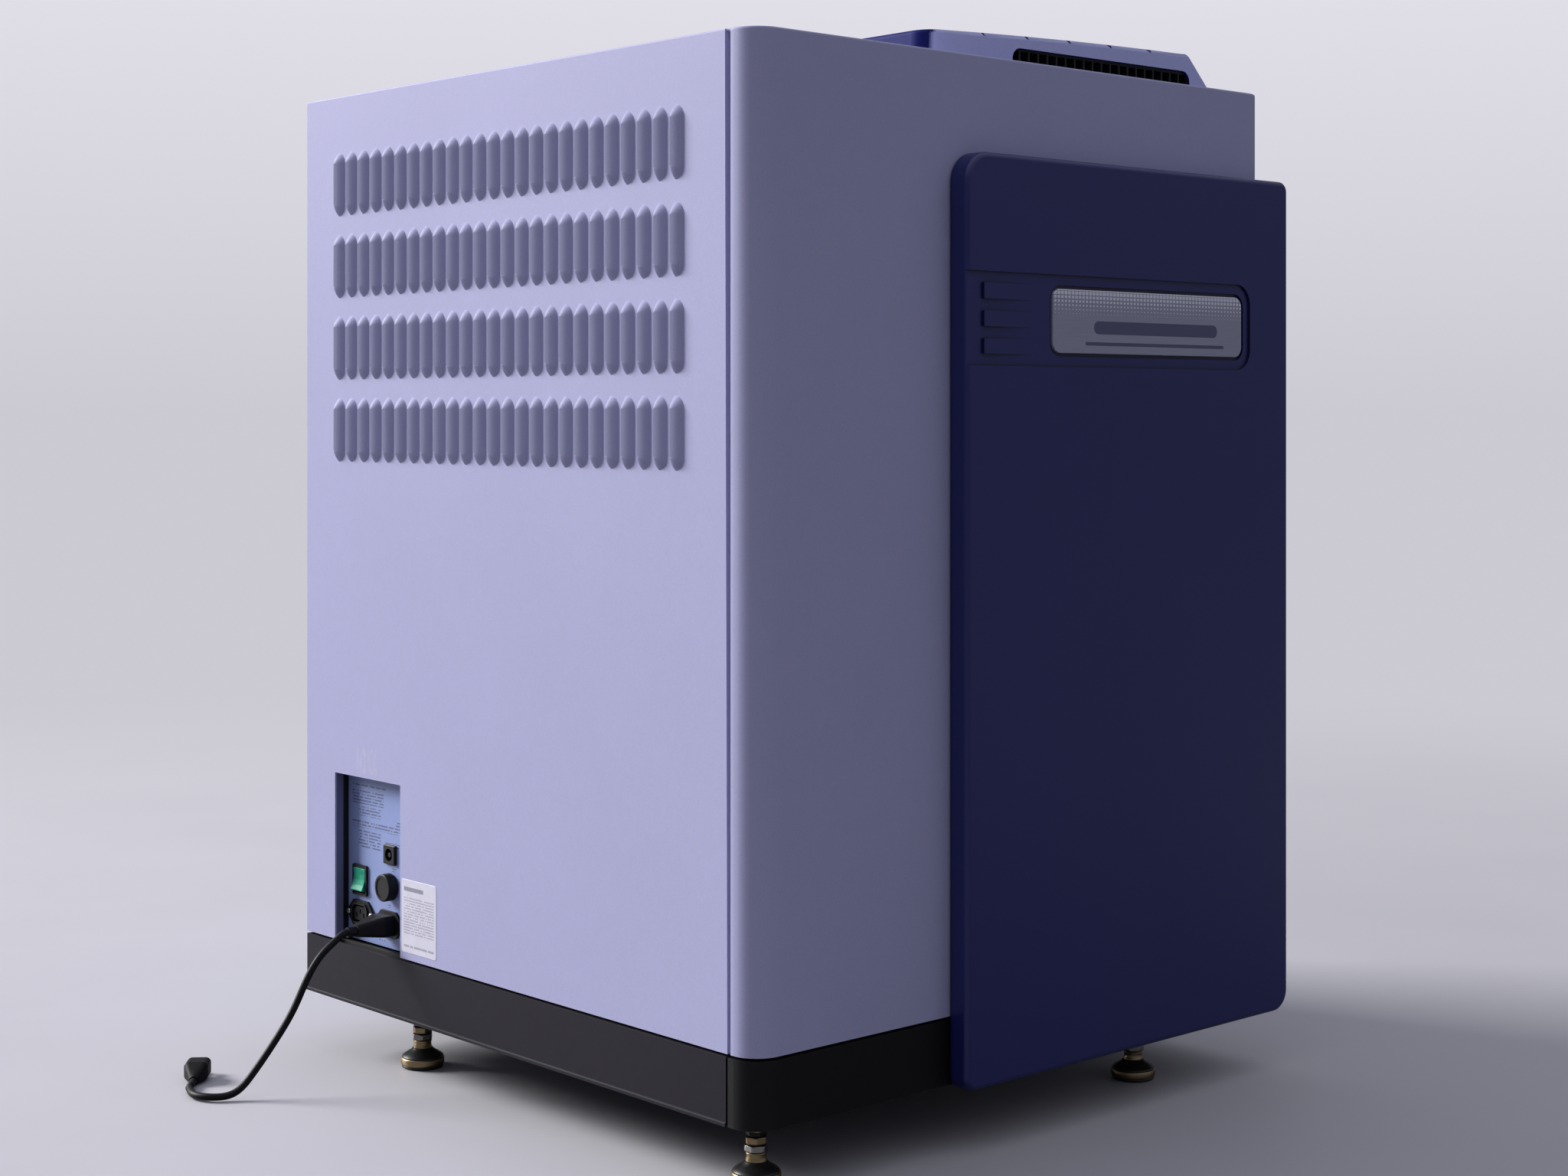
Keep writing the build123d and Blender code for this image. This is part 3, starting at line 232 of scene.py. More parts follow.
def plastic(name, base, rough=0.45, grain=1500.0, grain_s=0.2, spec=0.45, sheen=0.0, edge=0.25):
    """Moulded plastic with a fine spark-eroded grain, scuffs and brighter rubbed edges."""
    m = bpy.data.materials.new(name)
    nt, b = nodes_of(m)
    v = coords(nt)
    fine = noise(nt, v, grain, 2.0, 0.6)
    scuff = noise(nt, v, 35.0, 6.0, 0.7, 1.2)
    col = ramp(nt, scuff, [(0.35, rgba(base, 0.85)), (0.75, rgba(base, 1.2))])
    if edge:
        em = math_(nt, "MULTIPLY", edge_mask(nt, 0.0007), edge)
        col = mix(nt, em, col, rgba([min(1, c * 2.0 + 0.05) for c in base]))
    nt.links.new(col, b.inputs["Base Color"])
    r = nt.nodes.new("ShaderNodeMapRange")
    r.inputs["To Min"].default_value = rough - 0.08
    r.inputs["To Max"].default_value = rough + 0.12
    nt.links.new(scuff, r.inputs["Value"])
    nt.links.new(r.outputs[0], b.inputs["Roughness"])
    b.inputs["Specular IOR Level"].default_value = spec
    bump(nt, b, fine, grain_s, 0.00006)
    MATS[name] = m
    return m


LAV = (0.400, 0.400, 0.618)
powder("shell_paint", LAV, rough=0.52, grain=1100, grain_s=0.30, mottle=0.035, edge=0.35, edge_col=(0.62, 0.62, 0.80), spec=0.12)
powder("frame_paint", (0.18, 0.185, 0.21), rough=0.5, grain=800, edge=0.4)
powder("deck_black", (0.006, 0.006, 0.007), rough=0.6, grain=700, edge=0.1, edge_col=(0.03, 0.03, 0.03))
powder("plinth_black", (0.0050, 0.0050, 0.0062), rough=0.46, grain=1000, grain_s=0.3, edge=0.30, edge_col=(0.05, 0.05, 0.06), spec=0.22)
powder("plinth_grey", (0.0150, 0.0135, 0.0205), rough=0.55, grain=900, grain_s=0.4, mottle=0.05, edge=0.3, edge_col=(0.13, 0.125, 0.14), spec=0.14)
powder("hinge_black", (0.014, 0.014, 0.016), rough=0.35, grain=1200, edge=0.5, edge_col=(0.2, 0.2, 0.21))
powder("plate_paint", (0.245, 0.31, 0.58), rough=0.42, grain=1300, grain_s=0.12, mottle=0.02, edge=0.3)
powder("black_metal", (0.016, 0.016, 0.019), rough=0.38, grain=1400, grain_s=0.15, edge=0.5, edge_col=(0.22, 0.22, 0.24), metal=0.3)
powder("blue_plastic", (0.0128, 0.0170, 0.128), rough=0.36, grain=1600, grain_s=0.16, grain_d=0.00008, mottle=0.05, edge=0.06,
       edge_col=(0.03, 0.035, 0.24), spec=0.5, coat=0.10)
plastic("black_plastic", (0.0095, 0.0095, 0.0115), rough=0.46, spec=0.22)
plastic("cord_rubber", (0.0050, 0.0050, 0.0062), rough=0.50, grain=2200, grain_s=0.3, edge=0.1, spec=0.2)
plastic("seal_rubber", (0.012, 0.012, 0.012), rough=0.8, grain=1800, grain_s=0.6, edge=0.0)
plastic("ceramic_white", (0.80, 0.80, 0.77), rough=0.5, grain=2600, grain_s=0.1)
plastic("board_green", (0.014, 0.13, 0.055), rough=0.32, grain=500, grain_s=0.3)
metal("bright_steel", (0.62, 0.62, 0.63), rough=0.24, aniso=(1, 1, 30))
metal("foot_brass", (0.42, 0.31, 0.17), rough=0.30, aniso=(1, 1, 30))
metal("foot_steel", (0.36, 0.34, 0.33), rough=0.24, aniso=(1, 1, 30))
metal("foot_black_nut", (0.035, 0.032, 0.030), rough=0.32, aniso=(1, 1, 20))
metal("aluminium", (0.70, 0.71, 0.73), rough=0.34, aniso=(60, 1, 1))
metal("block_gold", (0.76, 0.70, 0.56), rough=0.22, aniso=(60, 1, 1))
metal("galvanised", (0.56, 0.58, 0.60), rough=0.42, aniso=(1, 1, 1), scale=120)


def green_rocker():
    m = bpy.data.materials.new("green_plastic")
    nt, b = nodes_of(m)
    v = coords(nt)
    n = noise(nt, v, 160.0, 3.0)
    col = ramp(nt, n, [(0.3, (0.010, 0.27, 0.16, 1)), (0.7, (0.018, 0.40, 0.25, 1))])
    col = mix(nt, math_(nt, "MULTIPLY", edge_mask(nt, 0.0008), 0.5), col, (0.08, 0.55, 0.38, 1))
    nt.links.new(col, b.inputs["Base Color"])
    b.inputs["Roughness"].default_value = 0.46
    b.inputs["Subsurface Weight"].default_value = 0.25
    b.inputs["Subsurface Radius"].default_value = (0.002, 0.006, 0.004)
    b.inputs["Subsurface Scale"].default_value = 1.0
    b.inputs["Specular IOR Level"].default_value = 0.22
    bump(nt, b, noise(nt, v, 1500.0), 0.08, 0.00005)
    MATS["green_plastic"] = m


def glass_filter():
    m = bpy.data.materials.new("filter_glass")
    nt, b = nodes_of(m)
    v = coords(nt)
    n = noise(nt, v, 30.0, 2.0)
    col = ramp(nt, n, [(0.2, (0.45, 0.2, 0.7, 1)), (0.5, (0.15, 0.45, 0.8, 1)), (0.8, (0.7, 0.5, 0.15, 1))])
    nt.links.new(col, b.inputs["Base Color"])
    b.inputs["Roughness"].default_value = 0.04
    b.inputs["Metallic"].default_value = 0.6
    bump(nt, b, noise(nt, v, 900.0), 0.02, 0.00002)
    MATS["filter_glass"] = m


def name_plate_mat():
    """Satin plate: brushed grain, a band of fine dots that fades downwards, no lettering."""
    m = bpy.data.materials.new("name_plate")
    nt, b = nodes_of(m)
    v = coords(nt)
    mp = nt.nodes.new("ShaderNodeMapping")
    mp.inputs["Scale"].default_value = (1, 1, 70)
    nt.links.new(v, mp.inputs["Vector"])
    streak = noise(nt, mp.outputs[0], 30.0, 4.0, 0.6)
    sep = nt.nodes.new("ShaderNodeSeparateXYZ")
    nt.links.new(v, sep.inputs[0])
    px, pz = 0.0048, 0.0037
    fx = math_(nt, "ABSOLUTE", math_(nt, "SUBTRACT", math_(nt, "FRACT", math_(nt, "DIVIDE", sep.outputs[0], px)), 0.5))
    fz = math_(nt, "ABSOLUTE", math_(nt, "SUBTRACT", math_(nt, "FRACT", math_(nt, "DIVIDE", sep.outputs[2], pz)), 0.5))
    d = math_(nt, "MAXIMUM", fx, fz)
    top = nt.nodes.new("ShaderNodeMapRange")
    top.inputs["From Min"].default_value = 0.736
    top.inputs["From Max"].default_value = 0.7605
    top.inputs["To Min"].default_value = 0.05
    top.inputs["To Max"].default_value = 0.46
    nt.links.new(sep.outputs[2], top.inputs["Value"])
    dot = math_(nt, "LESS_THAN", d, top.outputs[0])
    dot = math_(nt, "MULTIPLY", dot, math_(nt, "GREATER_THAN", sep.outputs[2], 0.7375))

    def rule(x0, x1, z0, z1):
        zc, xc, hz, hx = (z0 + z1) / 2, (x0 + x1) / 2 + SX, (z1 - z0) / 2, (x1 - x0) / 2
        dx = math_(nt, "MAXIMUM", math_(nt, "SUBTRACT", math_(nt, "ABSOLUTE", math_(nt, "SUBTRACT", sep.outputs[0], xc)), hx - hz), 0.0)
        dz = math_(nt, "ABSOLUTE", math_(nt, "SUBTRACT", sep.outputs[2], zc))
        r2 = math_(nt, "ADD", math_(nt, "MULTIPLY", dx, dx), math_(nt, "MULTIPLY", dz, dz))
        return math_(nt, "LESS_THAN", r2, hz * hz)
    ink = math_(nt, "MAXIMUM", rule(0.056, 0.236, 0.7200, 0.7320), rule(0.044, 0.246, 0.7095, 0.7127))
    base = ramp(nt, streak, [(0.3, (0.325, 0.335, 0.450, 1)), (0.7, (0.382, 0.392, 0.522, 1))])
    col = mix(nt, dot, base, (0.80, 0.81, 0.92, 1))
    col = mix(nt, math_(nt, "MULTIPLY", ink, 0.85), col, (0.060, 0.065, 0.15, 1))
    nt.links.new(col, b.inputs["Base Color"])
    b.inputs["Metallic"].default_value = 0.15
    r = nt.nodes.new("ShaderNodeMapRange")
    r.inputs["To Min"].default_value = 0.34
    r.inputs["To Max"].default_value = 0.5
    nt.links.new(streak, r.inputs["Value"])
    nt.links.new(r.outputs[0], b.inputs["Roughness"])
    bump(nt, b, streak, 0.05, 0.00005)
    MATS["name_plate"] = m


def label_mat():
    """White sticker with plain grey rules in place of print."""
    m = bpy.data.materials.new("label_print")
    nt, b = nodes_of(m)
    v = coords(nt)
    sep = nt.nodes.new("ShaderNodeSeparateXYZ")
    nt.links.new(v, sep.inputs[0])
    y, z = sep.outputs[1], sep.outputs[2]
    lo_y, hi_y = 0.112 + SY, 0.171 + SY
    row = math_(nt, "DIVIDE", z, 0.0026)
    line = math_(nt, "LESS_THAN", math_(nt, "FRACT", row), 0.42)
    seed = math_(nt, "FLOOR", row)
    wn = nt.nodes.new("ShaderNodeTexWhiteNoise")
    wn.noise_dimensions = "2D"
    cb = nt.nodes.new("ShaderNodeCombineXYZ")
    nt.links.new(math_(nt, "FLOOR", math_(nt, "DIVIDE", y, 0.0017)), cb.inputs[0])
    nt.links.new(seed, cb.inputs[1])
    nt.links.new(cb.outputs[0], wn.inputs["Vector"])
    word = math_(nt, "GREATER_THAN", wn.outputs["Value"], 0.16)
    inside = math_(nt, "MULTIPLY", math_(nt, "GREATER_THAN", y, lo_y + 0.004), math_(nt, "LESS_THAN", y, hi_y - 0.004))
    zone = math_(nt, "MULTIPLY", math_(nt, "GREATER_THAN", z, 0.144), math_(nt, "LESS_THAN", z, 0.1815))
    ink = math_(nt, "MULTIPLY", math_(nt, "MULTIPLY", line, word), math_(nt, "MULTIPLY", inside, zone))
    bar = math_(nt, "MULTIPLY", math_(nt, "MULTIPLY", math_(nt, "GREATER_THAN", z, 0.1865), math_(nt, "LESS_THAN", z, 0.1905)),
                math_(nt, "MULTIPLY", math_(nt, "GREATER_THAN", y, lo_y + 0.022), math_(nt, "LESS_THAN", y, hi_y - 0.004)))
    foot = math_(nt, "MULTIPLY", math_(nt, "MULTIPLY", math_(nt, "GREATER_THAN", z, 0.1325), math_(nt, "LESS_THAN", z, 0.1345)),
                 math_(nt, "MULTIPLY", inside, word))
    paper = ramp(nt, noise(nt, v, 90.0), [(0.3, (0.59, 0.58, 0.69, 1)), (0.7, (0.64, 0.63, 0.74, 1))])
    col = mix(nt, math_(nt, "MULTIPLY", ink, 0.62), paper, (0.20, 0.20, 0.27, 1))
    col = mix(nt, math_(nt, "MULTIPLY", bar, 0.75), col, (0.10, 0.10, 0.16, 1))
    col = mix(nt, math_(nt, "MULTIPLY", foot, 0.6), col, (0.14, 0.14, 0.20, 1))
    nt.links.new(col, b.inputs["Base Color"])
    b.inputs["Roughness"].default_value = 0.38
    bump(nt, b, noise(nt, v, 1200.0), 0.05, 0.00003)
    MATS["label_print"] = m


def tint_node(name, src, build):
    """A copy of a paint whose base colour passes through build(nt, colour socket)."""
    m = MATS[src].copy()
    m.name = name
    nt = m.node_tree
    b = next(n for n in nt.nodes if n.type == "BSDF_PRINCIPLED")
    link = b.inputs["Base Color"].links[0]
    sock = link.from_socket
    nt.links.remove(link)
    nt.links.new(build(nt, sock, b), b.inputs["Base Color"])
    MATS[name] = m


def between(nt, v, lo, hi):
    return math_(nt, "MULTIPLY", math_(nt, "GREATER_THAN", v, lo), math_(nt, "LESS_THAN", v, hi))


def print_rows(nt, y, z, boxes, pitch, duty):
    """Plain broken rules standing in for print: no letters."""
    row = math_(nt, "DIVIDE", z, pitch)
    line = math_(nt, "LESS_THAN", math_(nt, "FRACT", row), duty)
    cb = nt.nodes.new("ShaderNodeCombineXYZ")
    nt.links.new(math_(nt, "FLOOR", math_(nt, "DIVIDE", y, 0.0021)), cb.inputs[0])
    nt.links.new(math_(nt, "FLOOR", row), cb.inputs[1])
    wn = nt.nodes.new("ShaderNodeTexWhiteNoise")
    wn.noise_dimensions = "2D"
    nt.links.new(cb.outputs[0], wn.inputs["Vector"])
    word = math_(nt, "GREATER_THAN", wn.outputs["Value"], 0.2)
    area_ = None
    for y0, y1, z0, z1 in boxes:
        m = math_(nt, "MULTIPLY", between(nt, y, y0 / 1000 + SY, y1 / 1000 + SY), between(nt, z, z0 / 1000, z1 / 1000))
        area_ = m if area_ is None else math_(nt, "MAXIMUM", area_, m)
    return math_(nt, "MULTIPLY", math_(nt, "MULTIPLY", line, word), area_)


# Painted reflection: hood faces that point forward are mixed towards a lighter grey-blue that stands in for the room
# reflected in the blue plastic, while the real sheen is turned down.
def hood_build(nt, col, b):
    b.inputs["Specular IOR Level"].default_value = 0.07
    b.inputs["Coat Weight"].default_value = 0.0
    rr = b.inputs["Roughness"].links[0].from_node
    rr.inputs["To Min"].default_value = 0.50
    rr.inputs["To Max"].default_value = 0.62
    geo = nt.nodes.new("ShaderNodeNewGeometry")
    sep = nt.nodes.new("ShaderNodeSeparateXYZ")
    nt.links.new(geo.outputs["True Normal"], sep.inputs[0])
    tc = nt.nodes.new("ShaderNodeSeparateXYZ")
    v = coords(nt)
    nt.links.new(v, tc.inputs[0])
    mr = nt.nodes.new("ShaderNodeMapRange")
    mr.interpolation_type = "SMOOTHSTEP"
    mr.inputs["From Min"].default_value = -0.30
    mr.inputs["From Max"].default_value = -0.62
    nt.links.new(sep.outputs[1], mr.inputs["Value"])
    m2 = nt.nodes.new("ShaderNodeMapRange")
    m2.interpolation_type = "SMOOTHSTEP"
    m2.inputs["From Min"].default_value = -0.80
    m2.inputs["From Max"].default_value = -0.97
    nt.links.new(sep.outputs[1], m2.inputs["Value"])
    # mask of the forward-facing hood faces that carry the painted reflection
    lip = math_(nt, "MULTIPLY", mr.outputs[0], math_(nt, "GREATER_THAN", sep.outputs[0], -0.25))
    front = math_(nt, "MULTIPLY", math_(nt, "MAXIMUM", lip, m2.outputs[0]), math_(nt, "LESS_THAN", tc.outputs[1], -0.27 + SY))
    n = noise(nt, v, 1100.0, 2.0)
    grey = ramp(nt, n, [(0.3, (0.48, 0.50, 0.80, 1)), (0.7, (0.56, 0.58, 0.90, 1))])
    return mix(nt, front, col, grey)


def left_build(nt, col, b):
    """Faint tape marks above the power recess."""
    v = coords(nt)
    sep = nt.nodes.new("ShaderNodeSeparateXYZ")
    nt.links.new(v, sep.inputs[0])
    mp = nt.nodes.new("ShaderNodeMapping")
    mp.inputs["Scale"].default_value = (1, 6, 1)
    nt.links.new(v, mp.inputs["Vector"])
    streak = ramp(nt, noise(nt, mp.outputs[0], 60.0, 4.0, 0.7), [(0.48, (0, 0, 0, 1)), (0.60, (1, 1, 1, 1))])
    area_ = math_(nt, "MULTIPLY", between(nt, sep.outputs[1], 0.216 + SY, 0.252 + SY), between(nt, sep.outputs[2], 0.291, 0.316))
    return mix(nt, math_(nt, "MULTIPLY", math_(nt, "MULTIPLY", streak, area_), 0.30), col, (0.62, 0.62, 0.72, 1))


def plate_build(nt, col, b):
    v = coords(nt)
    sep = nt.nodes.new("ShaderNodeSeparateXYZ")
    nt.links.new(v, sep.inputs[0])
    boxes = [(224, 285, 273.8, 277.2), (228, 285, 256.6, 270), (233, 273, 244.8, 254), (195, 206, 240, 246), (195, 285, 232.8, 240.4),
             (233, 273, 212, 230), (196, 224, 219.6, 223.4), (205, 213, 196, 199.4), (206, 220, 159.6, 162.6), (225, 236, 124.5, 128)]
    ink = print_rows(nt, sep.outputs[1], sep.outputs[2], boxes, 0.00305, 0.46)
    return mix(nt, math_(nt, "MULTIPLY", ink, 0.72), col, (0.035, 0.04, 0.09, 1))


# Painted shade: the colour is pulled towards near-black navy where ambient occlusion finds crevices, steps and gaps.
def crevice_painted_shade(nt, col, b):
    ao = nt.nodes.new("ShaderNodeAmbientOcclusion")
    ao.samples = 6
    ao.inputs["Distance"].default_value = 0.007
    mr = nt.nodes.new("ShaderNodeMapRange")
    mr.inputs["From Min"].default_value = 0.45
    mr.inputs["From Max"].default_value = 0.98
    mr.inputs["To Min"].default_value = 0.12
    mr.inputs["To Max"].default_value = 1.0
    nt.links.new(ao.outputs["AO"], mr.inputs["Value"])
    return mix(nt, mr.outputs[0], (0.002, 0.0025, 0.012, 1), col)


# door: blue plastic with painted shade in its crevices
tint_node("door_plastic_crevice_shade", "blue_plastic", crevice_painted_shade)
powder("recess_base", (0.150, 0.155, 0.280), rough=0.5, grain=1000, edge=0.2)


def recess_build(nt, col, b):
    """The outer return is painted; the slot behind it, next to the connector plate, is painted near-black as shadow.
    """
    sep = nt.nodes.new("ShaderNodeSeparateXYZ")
    nt.links.new(coords(nt), sep.inputs[0])
    mr = nt.nodes.new("ShaderNodeMapRange")
    mr.interpolation_type = "SMOOTHSTEP"
    mr.inputs["From Min"].default_value = -0.3310 + SX
    mr.inputs["From Max"].default_value = -0.3296 + SX
    nt.links.new(sep.outputs[0], mr.inputs["Value"])
    return mix(nt, mr.outputs[0], col, (0.004, 0.004, 0.006, 1))


# recess: paint on the outer return, painted shadow in the slot by the connector plate
tint_node("recess_paint_and_shadow", "recess_base", recess_build)
# hood: blue plastic with a painted reflection on its front faces
tint_node("hood_front_painted_reflection", "blue_plastic", hood_build)
tint_node("shell_paint_left", "shell_paint", left_build)
tint_node("plate_printed", "plate_paint", plate_build)

green_rocker()
glass_filter()
name_plate_mat()
label_mat()
plastic("pad_black", (0.016, 0.015, 0.015), rough=0.38, grain=1500, grain_s=0.25, edge=0.35)

OWN = {"top_hood": "hood_front_painted_reflection", "hood_grille": "deck_black", "front_door": "door_plastic_crevice_shade", "inlet_recess_box": "recess_paint_and_shadow", "left_side_panel": "shell_paint_left", "connector_plate": "plate_printed"}
slots = {s["node"]: s["material_slot"] for s in frame["record"]["subparts"]}
for name, obj in frame["nodes"].items():
    mat = MATS.get(OWN.get(name, slots.get(name, "")), MATS["frame_paint"])
    obj.data.materials.clear()
    obj.data.materials.append(mat)
    for p in obj.data.polygons:
        p.material_index = 0


# ------------------------------------------------------------------ mesh helpers
def mesh_obj(name, verts, faces, mat, smooth=False):
    me = bpy.data.meshes.new(name)
    me.from_pydata([tuple(v) for v in verts], [], faces)
    me.update()
    o = bpy.data.objects.new(name, me)
    bpy.context.scene.collection.objects.link(o)
    if mat is not None:
        me.materials.append(mat)
    if smooth:
        for p in me.polygons:
            p.use_smooth = True
    return o


def rounded_plate(name, y0, y1, z0, z1, x, t, r, mat, seg=8):
    """Thin plate with rounded corners in the Y-Z plane, standing off towards -X, with a softened rim."""
    bm = bmesh.new()
    rings = []
    for off, dx in ((0.0, 0.0), (0.0, t * 0.6), (0.12, t)):
        pts = []
        for cy, cz, a0 in ((y1 - r, z1 - r, 0), (y0 + r, z1 - r, 90), (y0 + r, z0 + r, 180), (y1 - r, z0 + r, 270)):
            for i in range(seg + 1):
                a = math.radians(a0 + 90 * i / seg)
                rr = r - off
                pts.append(bm.verts.new(P(x - dx, cy + rr * math.cos(a), cz + rr * math.sin(a))))
        rings.append(pts)
    for a, b in zip(rings, rings[1:]):
        n = len(a)
        for i in range(n):
            bm.faces.new((a[i], a[(i + 1) % n], b[(i + 1) % n], b[i]))
    bm.faces.new(rings[-1])
    bm.faces.new(list(reversed(rings[0])))
    bmesh.ops.recalc_face_normals(bm, faces=bm.faces)
    me = bpy.data.meshes.new(name)
    bm.to_mesh(me)
    bm.free()
    o = bpy.data.objects.new(name, me)
    bpy.context.scene.collection.objects.link(o)
    me.materials.append(mat)
    return o


# rating label: blank generic sticker with plain rules
lab = rounded_plate("rating_label", 112, 171, 127, 197.5, -340.02, 0.25, 2.0, MATS["label_print"])
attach(lab, "cabinet")


# levelling feet as turned and milled hardware
def lathe(bm, cx, cy, prof, seg, mat_index, rfun=None):
    rings = []
    for r, z in prof:
        ring = []
        for i in range(seg):
            a = 2 * math.pi * i / seg
            rr = r if rfun is None else rfun(r, z, a, i)
            ring.append(bm.verts.new(P(cx + rr * math.cos(a), cy + rr * math.sin(a), z)))
        rings.append(ring)
    for a, b in zip(rings, rings[1:]):
        for i in range(seg):
            f = bm.faces.new((a[i], a[(i + 1) % seg], b[(i + 1) % seg], b[i]))
            f.material_index = mat_index
            f.smooth = True
    f = bm.faces.new(list(reversed(rings[0])))
    f.material_index = mat_index
    f = bm.faces.new(rings[-1])
    f.material_index = mat_index


def hex_nut(bm, cx, cy, z0, z1, af, mat_index, rot=0.0):
    R = af / math.sqrt(3)
    seg = 48
    prof = [(0.90, z0), (0.985, z0 + 1.1), (1.0, z0 + 1.6), (1.0, z1 - 1.6), (0.985, z1 - 1.1), (0.90, z1)]

    def rf(k, z, a, i):
        t = (a + rot) % (math.pi / 3) - math.pi / 6
        hexr = (af / 2) / math.cos(t)
        return min(hexr, R * k)
    lathe(bm, cx, cy, prof, seg, mat_index, rf)


def make_foot(key, x, y, rot):
    bm = bmesh.new()
    # rubber base
    lathe(bm, x, y, [(17.0, 0.02), (19.2, 0.25), (20.2, 1.0), (20.2, 3.4)], 64, 1)
    # knurled ring
    kn = lambda r, z, a, i: r - (0.42 if i % 2 else 0.0) if 4.2 < z < 9.3 else r
    lathe(bm, x, y, [(19.6, 3.3), (20.8, 3.5), (21.3, 4.4), (21.3, 6.4), (21.3, 9.2), (20.8, 9.9), (20.2, 10.1)], 144, 0, kn)
    # black cover with a concave flank
    lathe(bm, x, y, [(20.3, 9.9), (20.6, 10.7), (19.6, 12.0), (17.0, 13.9), (14.0, 15.6), (11.6, 17.2), (10.2, 18.6), (9.6, 19.4)], 72, 1)
    # bright neck with a waist, groove below the collar
    lathe(bm, x, y, [(9.4, 18.4), (9.4, 19.6), (8.9, 21.0), (8.5, 22.6), (8.6, 24.4), (9.0, 25.6), (9.0, 26.4), (8.2, 26.7), (8.2, 27.2)], 72, 0)
    hex_nut(bm, x, y, 27.1, 33.0, 18.2, 2, rot + 0.3)
    lathe(bm, x, y, [(7.6, 32.9), (7.6, 33.8)], 40, 3)
    hex_nut(bm, x, y, 33.7, 40.0, 17.2, 0, rot)
    hex_nut(bm, x, y, 40.4, 44.8, 16.0, 3, rot + 0.7)
    # threaded stud
    prof = []
    z = 39.4
    while z < 55.8:
        prof += [(5.1, z), (5.9, z + 0.42), (5.9, z + 0.66), (5.1, z + 1.08)]
        z += 1.25
    lathe(bm, x, y, prof, 40, 2)
    bmesh.ops.recalc_face_normals(bm, faces=bm.faces)
    me = bpy.data.meshes.new("foot_" + key)
    bm.to_mesh(me)
    bm.free()
    o = bpy.data.objects.new("foot_turned_" + key, me)
    bpy.context.scene.collection.objects.link(o)
    me.materials.append(MATS["foot_brass"])
    me.materials.append(MATS["pad_black"])
    me.materials.append(MATS["foot_steel"])
    me.materials.append(MATS["foot_black_nut"])
    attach(o, "foot_" + key)
    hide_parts("levelling_foot_" + key)
    return o


for k, r in (("front_left", 0.2), ("front_right", 0.5), ("rear_left", 0.9), ("rear_right", 0.1)):
    lo_, hi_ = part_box("levelling_foot_" + k)
    make_foot(k, ((lo_.x + hi_.x) / 2 - SX) * 1000, ((lo_.y + hi_.y) / 2 - SY) * 1000, r)

# ------------------------------------------------------------------ floor, light, camera
def floor():
    bm = bmesh.new()
    bmesh.ops.create_grid(bm, x_segments=4, y_segments=4, size=16)
    me = bpy.data.meshes.new("studio_floor")
    bm.to_mesh(me)
    bm.free()
    o = bpy.data.objects.new("studio_floor", me)
    bpy.context.scene.collection.objects.link(o)
    m = bpy.data.materials.new("floor_pale")
    nt, b = nodes_of(m)
    v = coords(nt)
    col = ramp(nt, noise(nt, v, 2.0, 3.0), [(0.3, (0.46, 0.455, 0.49, 1)), (0.7, (0.49, 0.485, 0.52, 1))])
    seen = nt.nodes.new("ShaderNodeLightPath")
    col = mix(nt, seen.outputs["Is Camera Ray"], (0.20, 0.20, 0.215, 1), col)
    nt.links.new(col, b.inputs["Base Color"])
    b.inputs["Roughness"].default_value = 0.5
    b.inputs["Specular IOR Level"].default_value = 0.3
    bump(nt, b, noise(nt, v, 500.0), 0.05, 0.0002)
    # the floor melts into the pale backdrop with distance
    ln = nt.nodes.new("ShaderNodeVectorMath")
    ln.operation = "LENGTH"
    nt.links.new(v, ln.inputs[0])
    mr = nt.nodes.new("ShaderNodeMapRange")
    mr.interpolation_type = "SMOOTHSTEP"
    mr.inputs["From Min"].default_value = 0.9
    mr.inputs["From Max"].default_value = 3.6
    nt.links.new(ln.outputs["Value"], mr.inputs["Value"])
    lp_ = nt.nodes.new("ShaderNodeLightPath")
    em = nt.nodes.new("ShaderNodeEmission")
    em.inputs[0].default_value = (0.60, 0.59, 0.65, 1)
    ms = nt.nodes.new("ShaderNodeMixShader")
    nt.links.new(math_(nt, "MULTIPLY", mr.outputs[0], lp_.outputs["Is Camera Ray"]), ms.inputs[0])
    nt.links.new(b.outputs[0], ms.inputs[1])
    nt.links.new(em.outputs[0], ms.inputs[2])
    out = next(n for n in nt.nodes if n.type == "OUTPUT_MATERIAL")
    nt.links.new(ms.outputs[0], out.inputs[0])
    me.materials.append(m)


floor()

w = bpy.data.worlds.new("studio")
bpy.context.scene.world = w
w.use_nodes = True
nt = w.node_tree
nt.nodes.clear()
wo = nt.nodes.new("ShaderNodeOutputWorld")
bg1 = nt.nodes.new("ShaderNodeBackground")
wt = nt.nodes.new("ShaderNodeTexCoord")
ws = nt.nodes.new("ShaderNodeSeparateXYZ")
nt.links.new(wt.outputs["Generated"], ws.inputs[0])
amb = ramp(nt, math_(nt, "ADD", math_(nt, "MULTIPLY", ws.outputs[2], 0.5), 0.5),
           [(0.0, (0.02, 0.02, 0.03, 1)), (0.49, (0.075, 0.077, 0.096, 1)), (0.60, (0.135, 0.140, 0.168, 1)),
            (0.80, (0.40, 0.41, 0.47, 1)), (1.0, (0.66, 0.67, 0.74, 1))])
dp_ = nt.nodes.new("ShaderNodeVectorMath")
dp_.operation = "DOT_PRODUCT"
nt.links.new(wt.outputs["Generated"], dp_.inputs[0])
dp_.inputs[1].default_value = (0.575, -0.765, 0.29)
patch = nt.nodes.new("ShaderNodeMapRange")
patch.interpolation_type = "SMOOTHSTEP"
patch.inputs["From Min"].default_value = 0.66
patch.inputs["From Max"].default_value = 1.0
patch.inputs["To Max"].default_value = 1.0
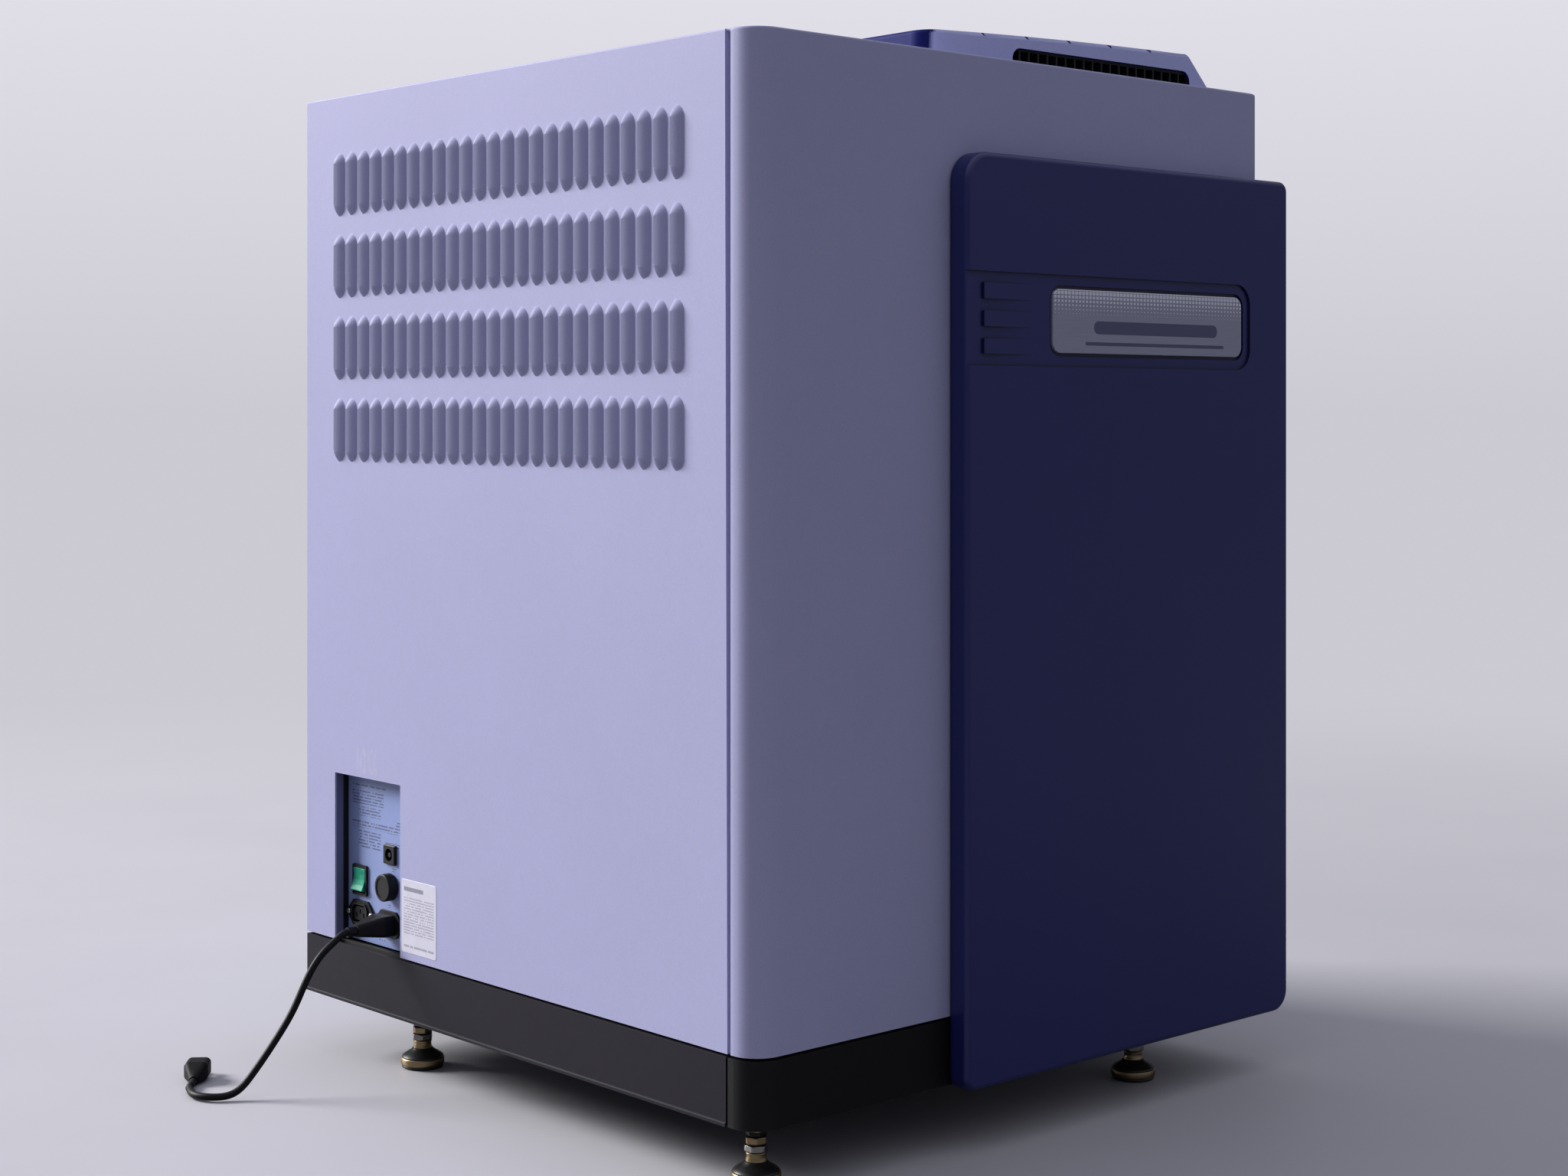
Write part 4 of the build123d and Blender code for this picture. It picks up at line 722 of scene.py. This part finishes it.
nt.links.new(dp_.outputs["Value"], patch.inputs["Value"])
amb = mix(nt, patch.outputs[0], amb, (0.080, 0.080, 0.088, 1), "ADD")
nt.links.new(amb, bg1.inputs[0])
bg1.inputs[1].default_value = 1.0
bg2 = nt.nodes.new("ShaderNodeBackground")
bg2.inputs[1].default_value = 1.0
back = ramp(nt, ws.outputs[2], [(0.0, (0.60, 0.59, 0.65, 1)), (0.22, (0.80, 0.79, 0.86, 1))])
nt.links.new(back, bg2.inputs[0])
lp = nt.nodes.new("ShaderNodeLightPath")
mx = nt.nodes.new("ShaderNodeMixShader")
nt.links.new(lp.outputs["Is Camera Ray"], mx.inputs[0])
nt.links.new(bg1.outputs[0], mx.inputs[1])
nt.links.new(bg2.outputs[0], mx.inputs[2])
nt.links.new(mx.outputs[0], wo.inputs[0])


def area(name, loc, target, size, power, color=(1, 1, 1), size_y=None):
    l = bpy.data.lights.new(name, "AREA")
    l.energy = power
    l.color = color
    l.size = size
    if size_y:
        l.shape = "RECTANGLE"
        l.size_y = size_y
    o = bpy.data.objects.new(name, l)
    bpy.context.scene.collection.objects.link(o)
    o.location = loc
    o.rotation_euler = (Vector(target) - Vector(loc)).to_track_quat("-Z", "Y").to_euler()
    return o


area("key_rear_left", (-0.1 - 0.42 * 14.0, 0.80 * 14.0, 0.55 + 0.43 * 14.0), (-0.1, 0.0, 0.6), 5.6, 3550, (1.0, 0.985, 0.97), 4.8)
area("ceiling_left", (-1.5, -0.3, 2.6), (-1.1, -0.1, 0.0), 1.6, 1.5, (1.0, 0.99, 1.0), 2.2)

cam_d = bpy.data.cameras.new("camera")
cam = bpy.data.objects.new("camera", cam_d)
bpy.context.scene.collection.objects.link(cam)
CAMX, CAMY, CAMZ = -1.6661 + SX, -1.8502 + SY, 0.6482
cam.location = (CAMX, CAMY, CAMZ)
cam.rotation_mode = "QUATERNION"
cam.rotation_quaternion = Vector((0.6701, 0.7423, 0.0)).to_track_quat("-Z", "Y")
cam_d.sensor_width = 36.0
cam_d.lens = 3222.0 / 2048.0 * 36.0
cam_d.clip_start = 0.05
cam_d.clip_end = 60
# a level camera with a vertical shift keeps the uprights parallel; the shift only applies at this viewpoint
fc = cam_d.driver_add("shift_y")
drv = fc.driver
drv.type = "SCRIPTED"
var = drv.variables.new()
var.name = "vx"
var.type = "SINGLE_PROP"
var.targets[0].id = cam
var.targets[0].data_path = "location[0]"
drv.expression = "-0.1118 if abs(vx - (%.5f)) < 0.0005 else 0.0" % CAMX
bpy.context.scene.camera = cam
bpy.context.scene.view_settings.view_transform = "Standard"
